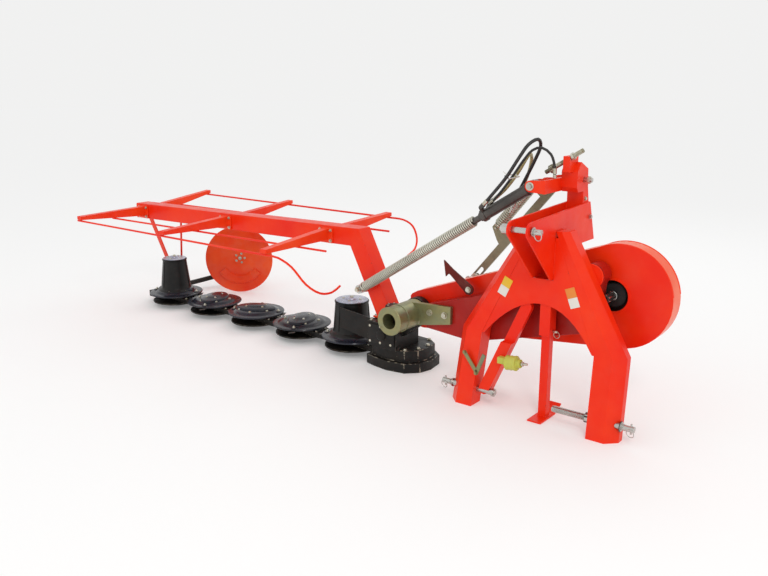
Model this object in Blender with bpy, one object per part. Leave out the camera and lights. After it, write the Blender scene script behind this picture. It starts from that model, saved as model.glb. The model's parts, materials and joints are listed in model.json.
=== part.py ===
"""Rear mounted disc mower with five cutting discs, standing on its parking stand.

Metres, +Z up. Sizes are worked out around the hitch: X runs along the cutter bar (the bar reaches to -X),
-Y is the tractor's side. The last step moves everything so that the origin is the middle of the footprint.
"""
import math

import bmesh
import bpy
from mathutils import Matrix, Vector

# ---------------------------------------------------------------- driving dimensions
GAP = 0.0003                    # between pieces that touch
CLEAR = 0.001                   # between a pin and its bore
SEGMENTS = 24                   # sides of a large round piece

DISC_COUNT = 5
DISC_PITCH = 0.40
DISC_RADIUS = 0.178
BLADE_REACH = 0.196             # circle that the blade tips sweep
DISC_UNDERSIDE = 0.084
DISC_EDGE = 0.012
DISC_CROWN = 0.040
INNER_DRUM = (0.108, 0.093, 0.172)      # base radius, top radius, height
OUTER_DRUM = (0.100, 0.077, 0.200)

BAR_Y = 0.22                    # row of disc centres, behind the hitch
INNER_DISC_X = -1.304
BAR_WIDTH = 0.11
BAR_LOW = 0.040
BAR_HIGH = 0.072
SKID_RADIUS = 0.160
SKID_LOW = 0.020
SKID_HIGH = 0.042
SPINDLE_RADIUS = 0.034

FOLD_X = -0.785                 # fore-and-aft axis that the cutter bar folds about
FOLD_Z = 0.345
PIVOT_TUBE_RADIUS = 0.070
PIVOT_BORE_RADIUS = 0.040
PIVOT_TUBE_FRONT = -0.100
PIVOT_TUBE_REAR = 0.120

ARM_X = 0.190                   # fore-and-aft axis that the main arm floats about
ARM_Z = 0.690
ARM_PIN_RADIUS = 0.022
BOSS_RADIUS = 0.050
BOSS_CLEAR = 0.002              # between the boss and the beam that swings beside it
BEAM_FRONT = 0.085
BEAM_REAR = 0.165

DRIVE_X = 0.250                 # input shaft and large pulley
DRIVE_Z = 0.590
DRIVE_HOLE_RADIUS = 0.072
DRIVE_SHAFT_RADIUS = 0.0175
PULLEY_RADIUS = 0.195
GUARD_RADIUS = 0.236
GUARD_X = 0.282                 # middle of the guard's large end, which isn't centred on the shaft
GUARD_END_RADIUS = 0.100
GUARD_FRONT = 0.180
GUARD_REAR = 0.275
GUARD_WALL = 0.005

RIGHT_LEG_X = 0.272             # inner edge of the right leg at the ground
LEFT_LEG_X = 0.315              # and of the left one, whose side the cutter bar's load hangs on
LEG_LEAN = 0.064                # how far a foot stands in front of its knee
LEG_KNEE_Z = 0.360
LEG_KNEE_LEAN = 0.012           # how much closer together the legs are at the knee
LEG_WIDTH = 0.085
LEG_CHAMFER = 0.048
LEG_DEPTH = 0.076
LEG_WALL = 0.010
APEX_X = 0.053
APEX_Z = 0.885
ARCH_Z = 0.550
ARCH_SHOULDER_X = 0.140         # where the arch's side would meet its top if it weren't rounded
ARCH_TOE = 0.010                # width of the plate at the knee

MAST_PLATE_INNER = 0.040
MAST_PLATE_WALL = 0.010
MAST_TOP_Z = 0.975
TOP_LINK_Y = -0.230
TOP_LINK_Z = 0.915
TOP_LINK_PIN_RADIUS = 0.0125
LOWER_PIN_RADIUS = 0.014
LOWER_PIN_Y = -0.018
LOWER_PIN_Z = 0.075
PIN_REACH = 0.062               # how far a lower pin stands out of its leg
HEAD_PIN_X = -0.115             # pin that the lift cylinder and the relief bar hang on
HEAD_PIN_Z = 1.060
HEAD_PIN_RADIUS = 0.011

ADJUSTING_ROD = ((-0.105, 0.178, 1.112), (0.070, 0.178, 1.220))
ADJUSTING_ROD_RADIUS = 0.010

STAND_X = 0.015
STAND_Y = 0.036
STAND_TUBE = 0.040
STAND_TOP_Z = 0.500
SLEEVE_WALL = 0.005
SLEEVE_LOW = 0.400
SLEEVE_HIGH = 0.480

LIFT_Y = 0.090                  # plane of the lift cylinder
LIFT_EYE_X = -1.130
LIFT_EYE_Z = 0.420
BARREL_LENGTH = 0.620
BARREL_RADIUS = 0.027
BARREL_SHOULDER = 0.310         # where the barrel steps down to the tube inside the spring
BARREL_TUBE_RADIUS = 0.0155
BARREL_BORE_RADIUS = 0.0125
ROD_RADIUS = 0.011
ROD_INSIDE = 0.070
LIFT_SPRING_TOP = 0.360
LIFT_SPRING_RADIUS = 0.0225
LIFT_SPRING_BORE = 0.0165

RELIEF_Y = 0.350                # plane of the relief bar and its spring, behind the guard
RELIEF_LENGTH = 0.700
RELIEF_HEADING = 230.0          # degrees, direction that the bar hangs in
RELIEF_SLOT = (0.060, 0.045)     # slot above and below the pin
RELIEF_SPRING_RADIUS = 0.030
HOOK_X = -0.465
HOOK_Z = 0.515
HOOK_FRONT = 0.119
HOOK_REAR = 0.129

TUBE_SIZE = 0.100               # square carrier tube over the discs
TUBE_Y = 0.190
TUBE_FOOT_X = -1.000
TUBE_FOOT_Z = 0.262
TUBE_BEND_X = -1.215
TUBE_BEND_Z = 0.685
TUBE_END_X = -3.180
TUBE_END_Z = 0.645
RIB_COUNT = 3
RIB_OUTER_X = -3.100
RIB_PITCH = 0.840
RIB_WIDTH = 0.045
RIB_FRONT_TIP_Y = -0.350
RIB_REAR_TIP_Y = 0.715
RIB_FRONT_TIP_Z = 0.650
RIB_REAR_TIP_Z = 0.710
RIB_FLANGE = 0.010
RIB_TIP_DEPTH = 0.022
RIB_ROOT_DROP = 0.030
ROD_BAR_RADIUS = 0.006
INNER_ROD_SHARE = 0.52          # how far out along its ribs an inner rod lies

SHOE_INNER_X = -0.750
SHOE_OUTER_X = -1.100
SHOE_HIGH = 0.120
GEARBOX_TOP = 0.260

SWATH_RADIUS = 0.245
SWATH_X = -2.840
SWATH_Y = 0.760
SWATH_HUB = 0.050               # hub behind the disc
SWATH_ARM_SIZE = 0.018
SWATH_TURN = 38.0               # degrees that the swath disc's face turns inward
STRAP_THICKNESS = 0.008

PORT_LENGTH = 0.026             # screwed end of the port that a hose leaves
PORT_RADIUS = 0.010
HOSE_RADIUS = 0.008
HOSE_SPACING = 0.020            # between the points of a hose
BLACK_HOSE = [(-0.350, 0.050, 0.958), (-0.300, 0.040, 1.010), (-0.235, 0.045, 1.090), (-0.180, 0.062, 1.185),
              (-0.150, 0.085, 1.240), (-0.125, 0.125, 1.262), (-0.130, 0.163, 1.228), (-0.168, 0.185, 1.160),
              (-0.215, 0.195, 1.075), (-0.262, 0.200, 0.990)]
YELLOW_HOSE = [(-0.345, 0.132, 0.972), (-0.295, 0.148, 1.022), (-0.235, 0.150, 1.100), (-0.200, 0.152, 1.160),
               (-0.190, 0.175, 1.190), (-0.200, 0.215, 1.170), (-0.228, 0.248, 1.100), (-0.272, 0.258, 1.005),
               (-0.300, 0.258, 0.945)]


# ---------------------------------------------------------------- materials
def paint(name, colour, roughness=0.4, metallic=0.0):
    material = bpy.data.materials.new(name)
    material.use_nodes = True
    shader = material.node_tree.nodes["Principled BSDF"]
    shader.inputs["Base Color"].default_value = (*colour, 1.0)
    shader.inputs["Roughness"].default_value = roughness
    shader.inputs["Metallic"].default_value = metallic
    material.diffuse_color = (*colour, 1.0)
    return material


def make_materials():
    return {
        "red": paint("red_paint", (0.82, 0.05, 0.012)),
        "dark_red": paint("dark_red_paint", (0.16, 0.012, 0.006), 0.5),
        "black": paint("black_casting", (0.016, 0.015, 0.013), 0.45),
        "disc": paint("disc_paint", (0.03, 0.032, 0.055), 0.35),
        "zinc": paint("olive_zinc", (0.30, 0.28, 0.12), 0.35, 0.8),
        "steel": paint("bright_steel", (0.55, 0.55, 0.52), 0.3, 1.0),
        "spring": paint("grey_spring", (0.42, 0.42, 0.34), 0.4, 0.7),
        "yellow": paint("yellow_green", (0.36, 0.42, 0.05), 0.4),
        "rubber": paint("black_rubber", (0.012, 0.012, 0.012), 0.6),
        "hose": paint("yellow_hose", (0.40, 0.36, 0.14), 0.5),
    }


# ---------------------------------------------------------------- mesh helpers
def new_mesh():
    return bmesh.new()


def finish(bm, name, origin, material, smooth=True):
    """Turn a bmesh drawn in machine coordinates into an object whose own origin is at origin."""
    bmesh.ops.remove_doubles(bm, verts=bm.verts, dist=1e-6)
    bmesh.ops.recalc_face_normals(bm, faces=bm.faces)
    bmesh.ops.translate(bm, verts=bm.verts, vec=-Vector(origin))
    mesh = bpy.data.meshes.new(name)
    bm.to_mesh(mesh)
    bm.free()
    mesh.materials.append(material)
    if smooth:
        mesh.shade_smooth()
        mesh.set_sharp_from_angle(angle=math.radians(35))
    piece = bpy.data.objects.new(name, mesh)
    piece.location = origin
    bpy.context.scene.collection.objects.link(piece)
    return piece


def prism(bm, outline, axis, low, high):
    """Extrude a closed outline along an axis. Its pairs are the two other coordinates, in X, Y, Z order."""
    def place(pair, along):
        first, second = pair
        return {"x": (along, first, second), "y": (first, along, second), "z": (first, second, along)}[axis]
    rings = [[bm.verts.new(place(pair, along)) for pair in outline] for along in (low, high)]
    bm.faces.new(rings[0])
    bm.faces.new(list(reversed(rings[1])))
    count = len(outline)
    for i in range(count):
        j = (i + 1) % count
        bm.faces.new((rings[0][i], rings[1][i], rings[1][j], rings[0][j]))


def block(bm, x_range, y_range, z_range):
    (x0, x1), (y0, y1) = x_range, y_range
    prism(bm, [(x0, y0), (x1, y0), (x1, y1), (x0, y1)], "z", *z_range)


def circle(centre, radius, count=SEGMENTS, start=0.0, end=360.0):
    """Points round a circle; a full turn leaves out the repeated last point."""
    full = abs(end - start) >= 360.0
    steps = count if full else count - 1
    angles = [math.radians(start + (end - start) * i / steps) for i in range(count)]
    return [(centre[0] + radius * math.cos(a), centre[1] + radius * math.sin(a)) for a in angles]


def tube_between(bm, start, end, radius, bore=0.0, count=16):
    """A round bar, or a tube where bore is given, between two points."""
    start, end = Vector(start), Vector(end)
    turn = (end - start).to_track_quat("Z", "Y").to_matrix()
    rings = []
    for centre in (start, end):
        for size in ([radius, bore] if bore else [radius]):
            rings.append([bm.verts.new(centre + turn @ Vector((*pair, 0.0)))
                          for pair in circle((0, 0), size, count)])
    if bore:
        outer_a, inner_a, outer_b, inner_b = rings
        pairs = [(outer_a, outer_b), (inner_b, inner_a), (inner_a, outer_a), (outer_b, inner_b)]
    else:
        pairs = [(rings[0], rings[1])]
        bm.faces.new(list(reversed(rings[0])))
        bm.faces.new(rings[1])
    for low, high in pairs:
        for i in range(count):
            j = (i + 1) % count
            bm.faces.new((low[i], low[j], high[j], high[i]))


def turned(bm, profile, centre, count=SEGMENTS, turn=None):
    """Revolve a closed profile of (radius, height) about the vertical through centre, then turn it."""
    turn = turn or Matrix.Identity(3)
    centre = Vector(centre)

    def ring(radius, height):
        if radius < 1e-6:
            return [bm.verts.new(centre + turn @ Vector((0, 0, height)))]
        return [bm.verts.new(centre + turn @ Vector((*pair, height)))
                for pair in circle((0, 0), radius, count)]
    rings = [ring(*point) for point in profile]
    for low, high in zip(rings, rings[1:] + rings[:1]):
        if len(low) == 1 and len(high) == 1:
            continue
        for i in range(count):
            j = (i + 1) % count
            corners = [low[i % len(low)], low[j % len(low)], high[j % len(high)], high[i % len(high)]]
            unique = list(dict.fromkeys(corners))
            bm.faces.new(unique)


def apply_boolean(piece, make_tool, operation):
    """Cut or join with a tool drawn by make_tool(bm); the result replaces the piece's mesh."""
    bm = new_mesh()
    make_tool(bm)
    tool = finish(bm, piece.name + "_tool", (0, 0, 0), piece.data.materials[0], smooth=False)
    tool.display_type = "WIRE"
    tool.hide_render = True
    modifier = piece.modifiers.new("shape", "BOOLEAN")
    modifier.operation = operation
    modifier.object = tool
    modifier.solver = "EXACT"
    bpy.context.view_layer.update()
    shaped = bpy.data.meshes.new_from_object(piece.evaluated_get(bpy.context.evaluated_depsgraph_get()))
    piece.modifiers.clear()
    piece.data = shaped
    bpy.data.objects.remove(tool)


def cut(piece, make_tool):
    apply_boolean(piece, make_tool, "DIFFERENCE")


def join(piece, make_tool):
    apply_boolean(piece, make_tool, "UNION")


def cut_round(piece, start, end, radius, count=16):
    cut(piece, lambda bm: tube_between(bm, start, end, radius, count=count))


def along_line(start, end, distance):
    """The point this far from start towards end, in the XZ plane."""
    length = math.hypot(end[0] - start[0], end[1] - start[1])
    share = distance / length
    return (start[0] + (end[0] - start[0]) * share, start[1] + (end[1] - start[1]) * share)


def strip_outline(start, end, half_width, round_ends=True):
    """Outline of a flat bar from start to end, with half round ends where wanted."""
    heading = math.degrees(math.atan2(end[1] - start[1], end[0] - start[0]))
    if round_ends:
        return (circle(start, half_width, 7, heading + 90, heading + 270)
                + circle(end, half_width, 7, heading - 90, heading + 90))
    side = Vector((-math.sin(math.radians(heading)), math.cos(math.radians(heading)))) * half_width
    return [(start[0] + side.x, start[1] + side.y), (start[0] - side.x, start[1] - side.y),
            (end[0] - side.x, end[1] - side.y), (end[0] + side.x, end[1] + side.y)]


def belt_outline(small, small_radius, large, large_radius):
    """The outline that a belt would have round two pulleys, small one on the left."""
    heading = math.degrees(math.atan2(large[1] - small[1], large[0] - small[0]))
    distance = math.hypot(large[0] - small[0], large[1] - small[1])
    lean = math.degrees(math.asin((large_radius - small_radius) / distance))
    return (circle(small, small_radius, 9, heading + 90 + lean, heading + 270 - lean)
            + circle(large, large_radius, 25, heading - 90 - lean, heading + 90 + lean))


# ---------------------------------------------------------------- headstock
def leg_section(inner_x, width, chamfer, side, forward=0.0):
    """Open channel in plan: inner flange, front, chamfer and outer flange of a folded leg."""
    wall = LEG_WALL
    corner = wall * 0.6
    outer = inner_x + width + chamfer
    points = [
        (inner_x, LEG_DEPTH), (inner_x, -wall), (inner_x + width, -wall),
        (outer, -wall + chamfer), (outer, LEG_DEPTH), (outer - wall, LEG_DEPTH),
        (outer - wall, -wall + chamfer + corner), (inner_x + width - corner, 0.0),
        (inner_x + wall, 0.0), (inner_x + wall, LEG_DEPTH),
    ]
    return [(side * x, y - forward) for x, y in points]


def leg_foot_x(side):
    return RIGHT_LEG_X if side > 0 else LEFT_LEG_X


def leg_channel(name, side, material):
    """One leg: leaning back from the ground to the knee, then leaning in to the apex."""
    foot_x = leg_foot_x(side)
    stations = [
        (0.0, leg_section(foot_x, LEG_WIDTH, LEG_CHAMFER, side, LEG_LEAN)),
        (LEG_KNEE_Z, leg_section(foot_x - LEG_KNEE_LEAN, LEG_WIDTH, LEG_CHAMFER, side)),
        (APEX_Z, leg_section(APEX_X, LEG_WALL * 2.6, LEG_WALL * 2.6, side)),
    ]
    bm = new_mesh()
    rings = [[bm.verts.new((x, y, z)) for x, y in section] for z, section in stations]
    count = len(rings[0])
    bm.faces.new(rings[0])
    bm.faces.new(list(reversed(rings[-1])))
    for low, high in zip(rings, rings[1:]):
        for i in range(count):
            j = (i + 1) % count
            bm.faces.new((low[i], low[j], high[j], high[i]))
    leg = finish(bm, name, (side * foot_x, 0, 0), material)
    reach = foot_x + LEG_WIDTH + LEG_CHAMFER + 0.05
    cut_round(leg, (side * 0.1, LOWER_PIN_Y, LOWER_PIN_Z), (side * reach, LOWER_PIN_Y, LOWER_PIN_Z),
              LOWER_PIN_RADIUS + CLEAR)
    return leg


def arch_plate(material):
    """Front plate between the legs, with the arch below and the slot for the mast above."""
    slot_x = MAST_PLATE_INNER + MAST_PLATE_WALL + GAP
    slot_low = 0.665
    top_z = APEX_Z - 0.03

    def half(side):
        """From the top corner down the leg to the knee and back along the arch to its middle."""
        knee_x = leg_foot_x(side) - LEG_KNEE_LEAN - GAP
        top_x = APEX_X - GAP + (knee_x - APEX_X) * (APEX_Z - top_z) / (APEX_Z - LEG_KNEE_Z)
        points = [(slot_x, top_z), (top_x, top_z), (knee_x, LEG_KNEE_Z)]
        for i in range(9):
            rest = 1 - i / 8
            points.append((rest * rest * (knee_x - ARCH_TOE) + 2 * rest * (1 - rest) * ARCH_SHOULDER_X,
                           rest * rest * LEG_KNEE_Z + (1 - rest * rest) * ARCH_Z))
        return [(side * x, z) for x, z in points]
    outline = ([(slot_x, slot_low)] + half(1) + half(-1)[-2::-1] + [(-slot_x, slot_low)])
    bm = new_mesh()
    prism(bm, outline, "y", -LEG_WALL, 0.0)
    return finish(bm, "arch_plate", (0, 0, ARCH_Z), material, smooth=False)


def mast_plate(name, side, material):
    """Side plate of the mast: lobe in front for the top link, straight top, cut away over the main arm."""
    lobe = circle((TOP_LINK_Y, TOP_LINK_Z), 0.038, 9, 95, 215)
    outline = lobe + [(-0.030, 0.670), (0.075, 0.670), (0.165, 0.790), (0.400, 0.790), (0.335, MAST_TOP_Z)]
    bm = new_mesh()
    faces = sorted((side * MAST_PLATE_INNER, side * (MAST_PLATE_INNER + MAST_PLATE_WALL)))
    prism(bm, outline, "x", *faces)
    plate = finish(bm, name, (side * MAST_PLATE_INNER, 0, TOP_LINK_Z), material)
    cut_round(plate, (-0.2, TOP_LINK_Y, TOP_LINK_Z), (0.2, TOP_LINK_Y, TOP_LINK_Z),
              TOP_LINK_PIN_RADIUS + CLEAR)
    return plate


def mast_head(material):
    """Post between the mast plates, with the hooked head that carries the lift and relief pins."""
    half = MAST_PLATE_INNER - GAP
    outline = [(0.360, 0.800), (0.276, 0.800), (0.272, 1.028), (0.216, 1.028), (0.200, 1.050),
               (0.204, 1.122), (0.236, 1.162), (0.311, 1.127), (0.318, 1.050), (0.335, MAST_TOP_Z)]
    bm = new_mesh()
    prism(bm, outline, "x", -half, half)
    head = finish(bm, "mast_head", (0, 0.25, HEAD_PIN_Z), material, smooth=False)
    cut_round(head, (-0.2, 0.275, 1.080), (0.2, 0.275, 1.080), HEAD_PIN_RADIUS + CLEAR)
    start, end = ADJUSTING_ROD
    at_middle = start[2] + (end[2] - start[2]) * -start[0] / (end[0] - start[0])
    join(head, lambda bm: block(bm, (-0.016, 0.016), (start[1] - 0.015, 0.250),
                                (HEAD_PIN_Z + 0.060, at_middle + 0.014)))
    cut_round(head, start, end, ADJUSTING_ROD_RADIUS + CLEAR)
    return head


def head_lugs(material):
    """Three plates across the head's left side, joined by a back strip, that hold the head pin."""
    inner = -(MAST_PLATE_INNER - GAP) - GAP
    outline = [(inner, HEAD_PIN_Z + 0.030), (inner, HEAD_PIN_Z - 0.030)] + circle(
        (HEAD_PIN_X, HEAD_PIN_Z), 0.026, 9, 270, 90)
    bm = new_mesh()
    prism(bm, outline, "y", 0.128, 0.138)
    lugs = finish(bm, "head_lugs", (HEAD_PIN_X, 0.2, HEAD_PIN_Z), material)

    def rest(bm):
        block(bm, (inner - 0.014, inner), (0.048, 0.340), (HEAD_PIN_Z - 0.030, HEAD_PIN_Z + 0.030))
    join(lugs, rest)
    for front, rear in ((0.048, 0.058), (0.200, 0.210), (0.330, 0.340)):
        def lug(bm, front=front, rear=rear):
            prism(bm, outline, "y", front, rear)
        join(lugs, lug)
    cut_round(lugs, (HEAD_PIN_X, 0.0, HEAD_PIN_Z), (HEAD_PIN_X, 0.4, HEAD_PIN_Z), HEAD_PIN_RADIUS + CLEAR)
    return lugs


def round_pin(name, start, end, radius, material, collars=()):
    """A pin with collars given as (distance from start, length, radius)."""
    bm = new_mesh()
    start, end = Vector(start), Vector(end)
    length = (end - start).length
    stops = [(0.0, radius)]
    for distance, width, size in collars:
        stops += [(distance, radius), (distance, size), (distance + width, size), (distance + width, radius)]
    stops.append((length, radius))
    profile = [(0.0, 0.0)] + [(size, height) for height, size in stops] + [(0.0, length)]
    clean = [profile[0]]
    for point in profile[1:]:
        if point != clean[-1]:
            clean.append(point)
    turn = (end - start).to_track_quat("Z", "Y").to_matrix()
    turned(bm, clean, start, 14, turn)
    return finish(bm, name, start, material)


def hitch_pins(material):
    """Lower link pins through both legs; the left one also carries the brace's foot."""
    def pin(name, side, inner, collars):
        outer = leg_foot_x(side) + LEG_WIDTH + LEG_CHAMFER + PIN_REACH
        round_pin(name, (side * inner, LOWER_PIN_Y, LOWER_PIN_Z), (side * outer, LOWER_PIN_Y, LOWER_PIN_Z),
                  LOWER_PIN_RADIUS, material, collars)
    start, collar = 0.085, 0.022
    flange = leg_foot_x(1) - LEG_KNEE_LEAN * (LOWER_PIN_Z + 0.024) / LEG_KNEE_Z - GAP
    pin("right_hitch_pin", 1, start, [(flange - start - collar, collar, 0.024)])
    pin("left_hitch_pin", -1, LEFT_LEG_X - 0.100, [(0.004, 0.012, 0.020)])


def arm_hinge(material):
    """Boss on the rear of the right leg, which the main arm's pin is fixed in."""
    bm = new_mesh()
    tube_between(bm, (ARM_X, LEG_DEPTH + GAP, ARM_Z), (ARM_X, BEAM_FRONT - BOSS_CLEAR, ARM_Z),
                 BOSS_RADIUS, 0, 20)
    finish(bm, "arm_hinge_boss", (ARM_X, LEG_DEPTH, ARM_Z), material)


def top_link_pin(material):
    half = MAST_PLATE_INNER + MAST_PLATE_WALL
    round_pin("top_link_pin", (-half - 0.045, TOP_LINK_Y, TOP_LINK_Z), (half + 0.045, TOP_LINK_Y, TOP_LINK_Z),
              TOP_LINK_PIN_RADIUS, material, [(0.010, 0.035 - GAP, 0.022)])


def stand_sleeve(material):
    half = STAND_TUBE / 2 + CLEAR
    outer = half + SLEEVE_WALL
    bm = new_mesh()
    block(bm, (STAND_X - outer, STAND_X + outer), (GAP, STAND_Y + outer), (SLEEVE_LOW, SLEEVE_HIGH + 0.11))
    sleeve = finish(bm, "stand_sleeve", (STAND_X, STAND_Y, SLEEVE_LOW), material, smooth=False)
    cut(sleeve, lambda bm: block(bm, (STAND_X - half, STAND_X + half), (STAND_Y - half, STAND_Y + half),
                                 (SLEEVE_LOW - 0.1, SLEEVE_HIGH + 0.3)))
    return sleeve


def adjusting_rod(material):
    round_pin("adjusting_rod", *ADJUSTING_ROD, ADJUSTING_ROD_RADIUS, material, [(0.026, 0.020, 0.019)])


def diagonal_brace(materials):
    """Brace from the left hitch pin up to the arch, with the breakaway spring in front of it."""
    foot, top = (-LEFT_LEG_X + 0.042, LOWER_PIN_Z + 0.010), (-0.080, 0.520)
    bm = new_mesh()
    front = -0.030
    prism(bm, strip_outline(foot, top, 0.026), "y", front, 0.026)
    brace = finish(bm, "diagonal_brace", (foot[0], LOWER_PIN_Y, foot[1]), materials["red"])
    cut(brace, lambda bm: block(bm, (-0.25, 0.1), (front - 0.1, GAP), (LEG_KNEE_Z - 0.020, 0.6)))
    cut_round(brace, (-0.4, LOWER_PIN_Y, LOWER_PIN_Z), (0.0, LOWER_PIN_Y, LOWER_PIN_Z),
              LOWER_PIN_RADIUS + CLEAR)
    middle = along_line(foot, top, 0.185)
    start = Vector((middle[0] + 0.062, front - 0.030, middle[1] + 0.004))
    heading = Vector((1, 0, 0.12)).to_track_quat("Z", "Y").to_matrix()
    profile = [(0.0, 0.0), (0.035, 0.0), (0.035, 0.055), (0.020, 0.061), (0.020, 0.075), (0.006, 0.077),
               (0.006, 0.107), (0.0, 0.107)]
    bm = new_mesh()
    turned(bm, profile, start, 18, heading)
    spring = finish(bm, "breakaway_spring", start, materials["yellow"])
    join(spring, lambda bm: block(bm, (start.x - 0.052, start.x + 0.010), (start.y, front - GAP),
                                  (start.z - 0.016, start.z + 0.016)))


# ---------------------------------------------------------------- parking stand
def parking_stand(material):
    """Square tube with a foot plate whose rear end is bent up."""
    half = STAND_TUBE / 2
    bm = new_mesh()
    foot = [(-0.060, 0.0), (0.085, 0.0), (0.150, 0.030), (0.147, 0.037), (0.083, 0.008), (-0.060, 0.008)]
    prism(bm, foot, "x", STAND_X - 0.035, STAND_X + 0.035)
    stand = finish(bm, "parking_stand", (STAND_X, STAND_Y, 0.0), material, smooth=False)
    join(stand, lambda bm: block(bm, (STAND_X - half, STAND_X + half), (STAND_Y - half, STAND_Y + half),
                                 (0.004, STAND_TOP_Z)))
    return stand


# ---------------------------------------------------------------- main arm
def arm_beam(material):
    """Box beam from the pivot arm up to the hinge."""
    eye = circle((ARM_X, ARM_Z), 0.055, 9, 110, -45)
    outline = [(-0.690, 0.285), (-0.690, 0.410), (0.100, 0.651)] + eye + [(0.205, 0.430), (-0.420, 0.265)]
    bm = new_mesh()
    prism(bm, outline, "y", BEAM_FRONT, BEAM_REAR)
    beam = finish(bm, "arm_beam", (ARM_X, BEAM_FRONT, ARM_Z), material, smooth=False)
    cut_round(beam, (ARM_X, 0, ARM_Z), (ARM_X, 0.3, ARM_Z), ARM_PIN_RADIUS + CLEAR)
    return beam


def belt_guard(material):
    """Hollow guard over both pulleys, open at its small end, with the shaft's hole in front."""
    small, large = (FOLD_X, FOLD_Z), (GUARD_X, DRIVE_Z)
    bm = new_mesh()
    prism(bm, belt_outline(small, GUARD_END_RADIUS, large, GUARD_RADIUS), "y", GUARD_FRONT, GUARD_REAR)
    guard = finish(bm, "belt_guard", (DRIVE_X, GUARD_FRONT, DRIVE_Z), material)

    def cavity(bm):
        inner = belt_outline(small, GUARD_END_RADIUS - GUARD_WALL, large, GUARD_RADIUS - GUARD_WALL)
        prism(bm, inner, "y", GUARD_FRONT + GUARD_WALL, GUARD_REAR - GUARD_WALL)
    cut(guard, cavity)
    cut(guard, lambda bm: block(bm, (FOLD_X - 0.2, FOLD_X - 0.075), (0.1, 0.4), (0.1, 0.6)))
    cut_round(guard, (DRIVE_X, 0.1, DRIVE_Z), (DRIVE_X, 0.22, DRIVE_Z), DRIVE_HOLE_RADIUS, 24)
    return guard


def pivot_arm(material):
    """Zinc plated plate bolted on the beam, with the hollow tube that the cutter bar folds on."""
    front = BEAM_FRONT - GAP - 0.022
    bm = new_mesh()
    tube_between(bm, (FOLD_X, PIVOT_TUBE_FRONT, FOLD_Z), (FOLD_X, PIVOT_TUBE_REAR, FOLD_Z), PIVOT_TUBE_RADIUS,
                 0.0, 28)
    arm = finish(bm, "pivot_arm", (FOLD_X, 0, FOLD_Z), material)
    outline = [(FOLD_X, FOLD_Z - 0.060), (-0.530, 0.335), (-0.530, 0.425), (FOLD_X, FOLD_Z + 0.066)]
    join(arm, lambda bm: prism(bm, outline, "y", front, BEAM_FRONT - GAP))
    cut_round(arm, (FOLD_X, -0.3, FOLD_Z), (FOLD_X, 0.3, FOLD_Z), PIVOT_BORE_RADIUS, 28)
    return arm


def arm_pivot_pin(material):
    start, washer = BEAM_FRONT - BOSS_CLEAR + GAP, 0.004
    end = BEAM_REAR + washer + 0.005
    round_pin("arm_pivot_pin", (ARM_X, start, ARM_Z), (ARM_X, end, ARM_Z), ARM_PIN_RADIUS, material,
              [(BEAM_REAR + 0.0005 - start, washer, 0.034)])


def relief_pin(material):
    """Shouldered pin on the guard's rear that runs in the relief bar's slot."""
    x, z = relief_foot()
    round_pin("relief_pin", (x, GUARD_REAR + GAP, z), (x, RELIEF_Y + 0.018, z), 0.009, material,
              [(0.0002, 0.008, 0.016)])


# ---------------------------------------------------------------- relief bar and hook
def relief_foot():
    """Centre of the pin in the relief bar's slot."""
    heading = math.radians(RELIEF_HEADING)
    return (HEAD_PIN_X + RELIEF_LENGTH * math.cos(heading), HEAD_PIN_Z + RELIEF_LENGTH * math.sin(heading))


def relief_parts(materials):
    """Slotted flat bar from the head pin down behind the guard, with the relief spring hooked beside it."""
    head, foot = (HEAD_PIN_X, HEAD_PIN_Z), relief_foot()
    tail = along_line(head, foot, RELIEF_LENGTH + RELIEF_SLOT[1] + 0.015)
    bm = new_mesh()
    prism(bm, strip_outline(head, tail, 0.020), "y", RELIEF_Y - 0.006, RELIEF_Y + 0.006)
    bar = finish(bm, "relief_bar", (HEAD_PIN_X, RELIEF_Y, HEAD_PIN_Z), materials["zinc"])

    heading = Vector((foot[0] - head[0], foot[1] - head[1])).normalized()
    side = Vector((heading.y, -heading.x))

    def beside(distance, offset):
        point = Vector(head) + heading * distance + side * offset
        return (point.x, point.y)
    spring_top, spring_low = 0.130, 0.400
    for start, step in ((spring_low + 0.0005, 1), (spring_top - 0.0005, -1)):
        hooked = [beside(start, 0.105), beside(start, 0.0), beside(start + step * 0.075, 0.0),
                  beside(start + step * 0.060, 0.045), beside(start + step * 0.030, 0.105)]
        join(bar, lambda bm, hooked=hooked: prism(bm, hooked, "y", RELIEF_Y - 0.006, RELIEF_Y + 0.006))
    cut_round(bar, (head[0], 0.1, head[1]), (head[0], 0.5, head[1]), HEAD_PIN_RADIUS + CLEAR)
    slot = [along_line(head, foot, RELIEF_LENGTH + end) for end in (-RELIEF_SLOT[0], RELIEF_SLOT[1])]
    cut(bar, lambda bm: prism(bm, strip_outline(*slot, 0.0115), "y", 0.2, 0.5))
    top, bottom = beside(spring_top, 0.085), beside(spring_low, 0.085)
    bm = new_mesh()
    tube_between(bm, (top[0], RELIEF_Y, top[1]), (bottom[0], RELIEF_Y, bottom[1]),
                 RELIEF_SPRING_RADIUS, 0, 18)
    finish(bm, "relief_spring", (HEAD_PIN_X, RELIEF_Y, HEAD_PIN_Z), materials["spring"])


def transport_hook(material):
    """Latch plate that points up and outward, with a barb at its tip."""
    bm = new_mesh()
    tip = (-0.613, 0.645)
    outline = (circle((HOOK_X, HOOK_Z), 0.027, 9, -150, 60)
               + [(-0.560, 0.606), tip, (-0.600, 0.562), (-0.583, 0.580), (-0.572, 0.574)])
    prism(bm, outline, "y", HOOK_FRONT, HOOK_REAR)
    hook = finish(bm, "transport_hook", (HOOK_X, HOOK_FRONT, HOOK_Z), material)
    cut_round(hook, (HOOK_X, 0, HOOK_Z), (HOOK_X, 0.3, HOOK_Z), 0.010 + CLEAR, 12)
    return hook


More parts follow.
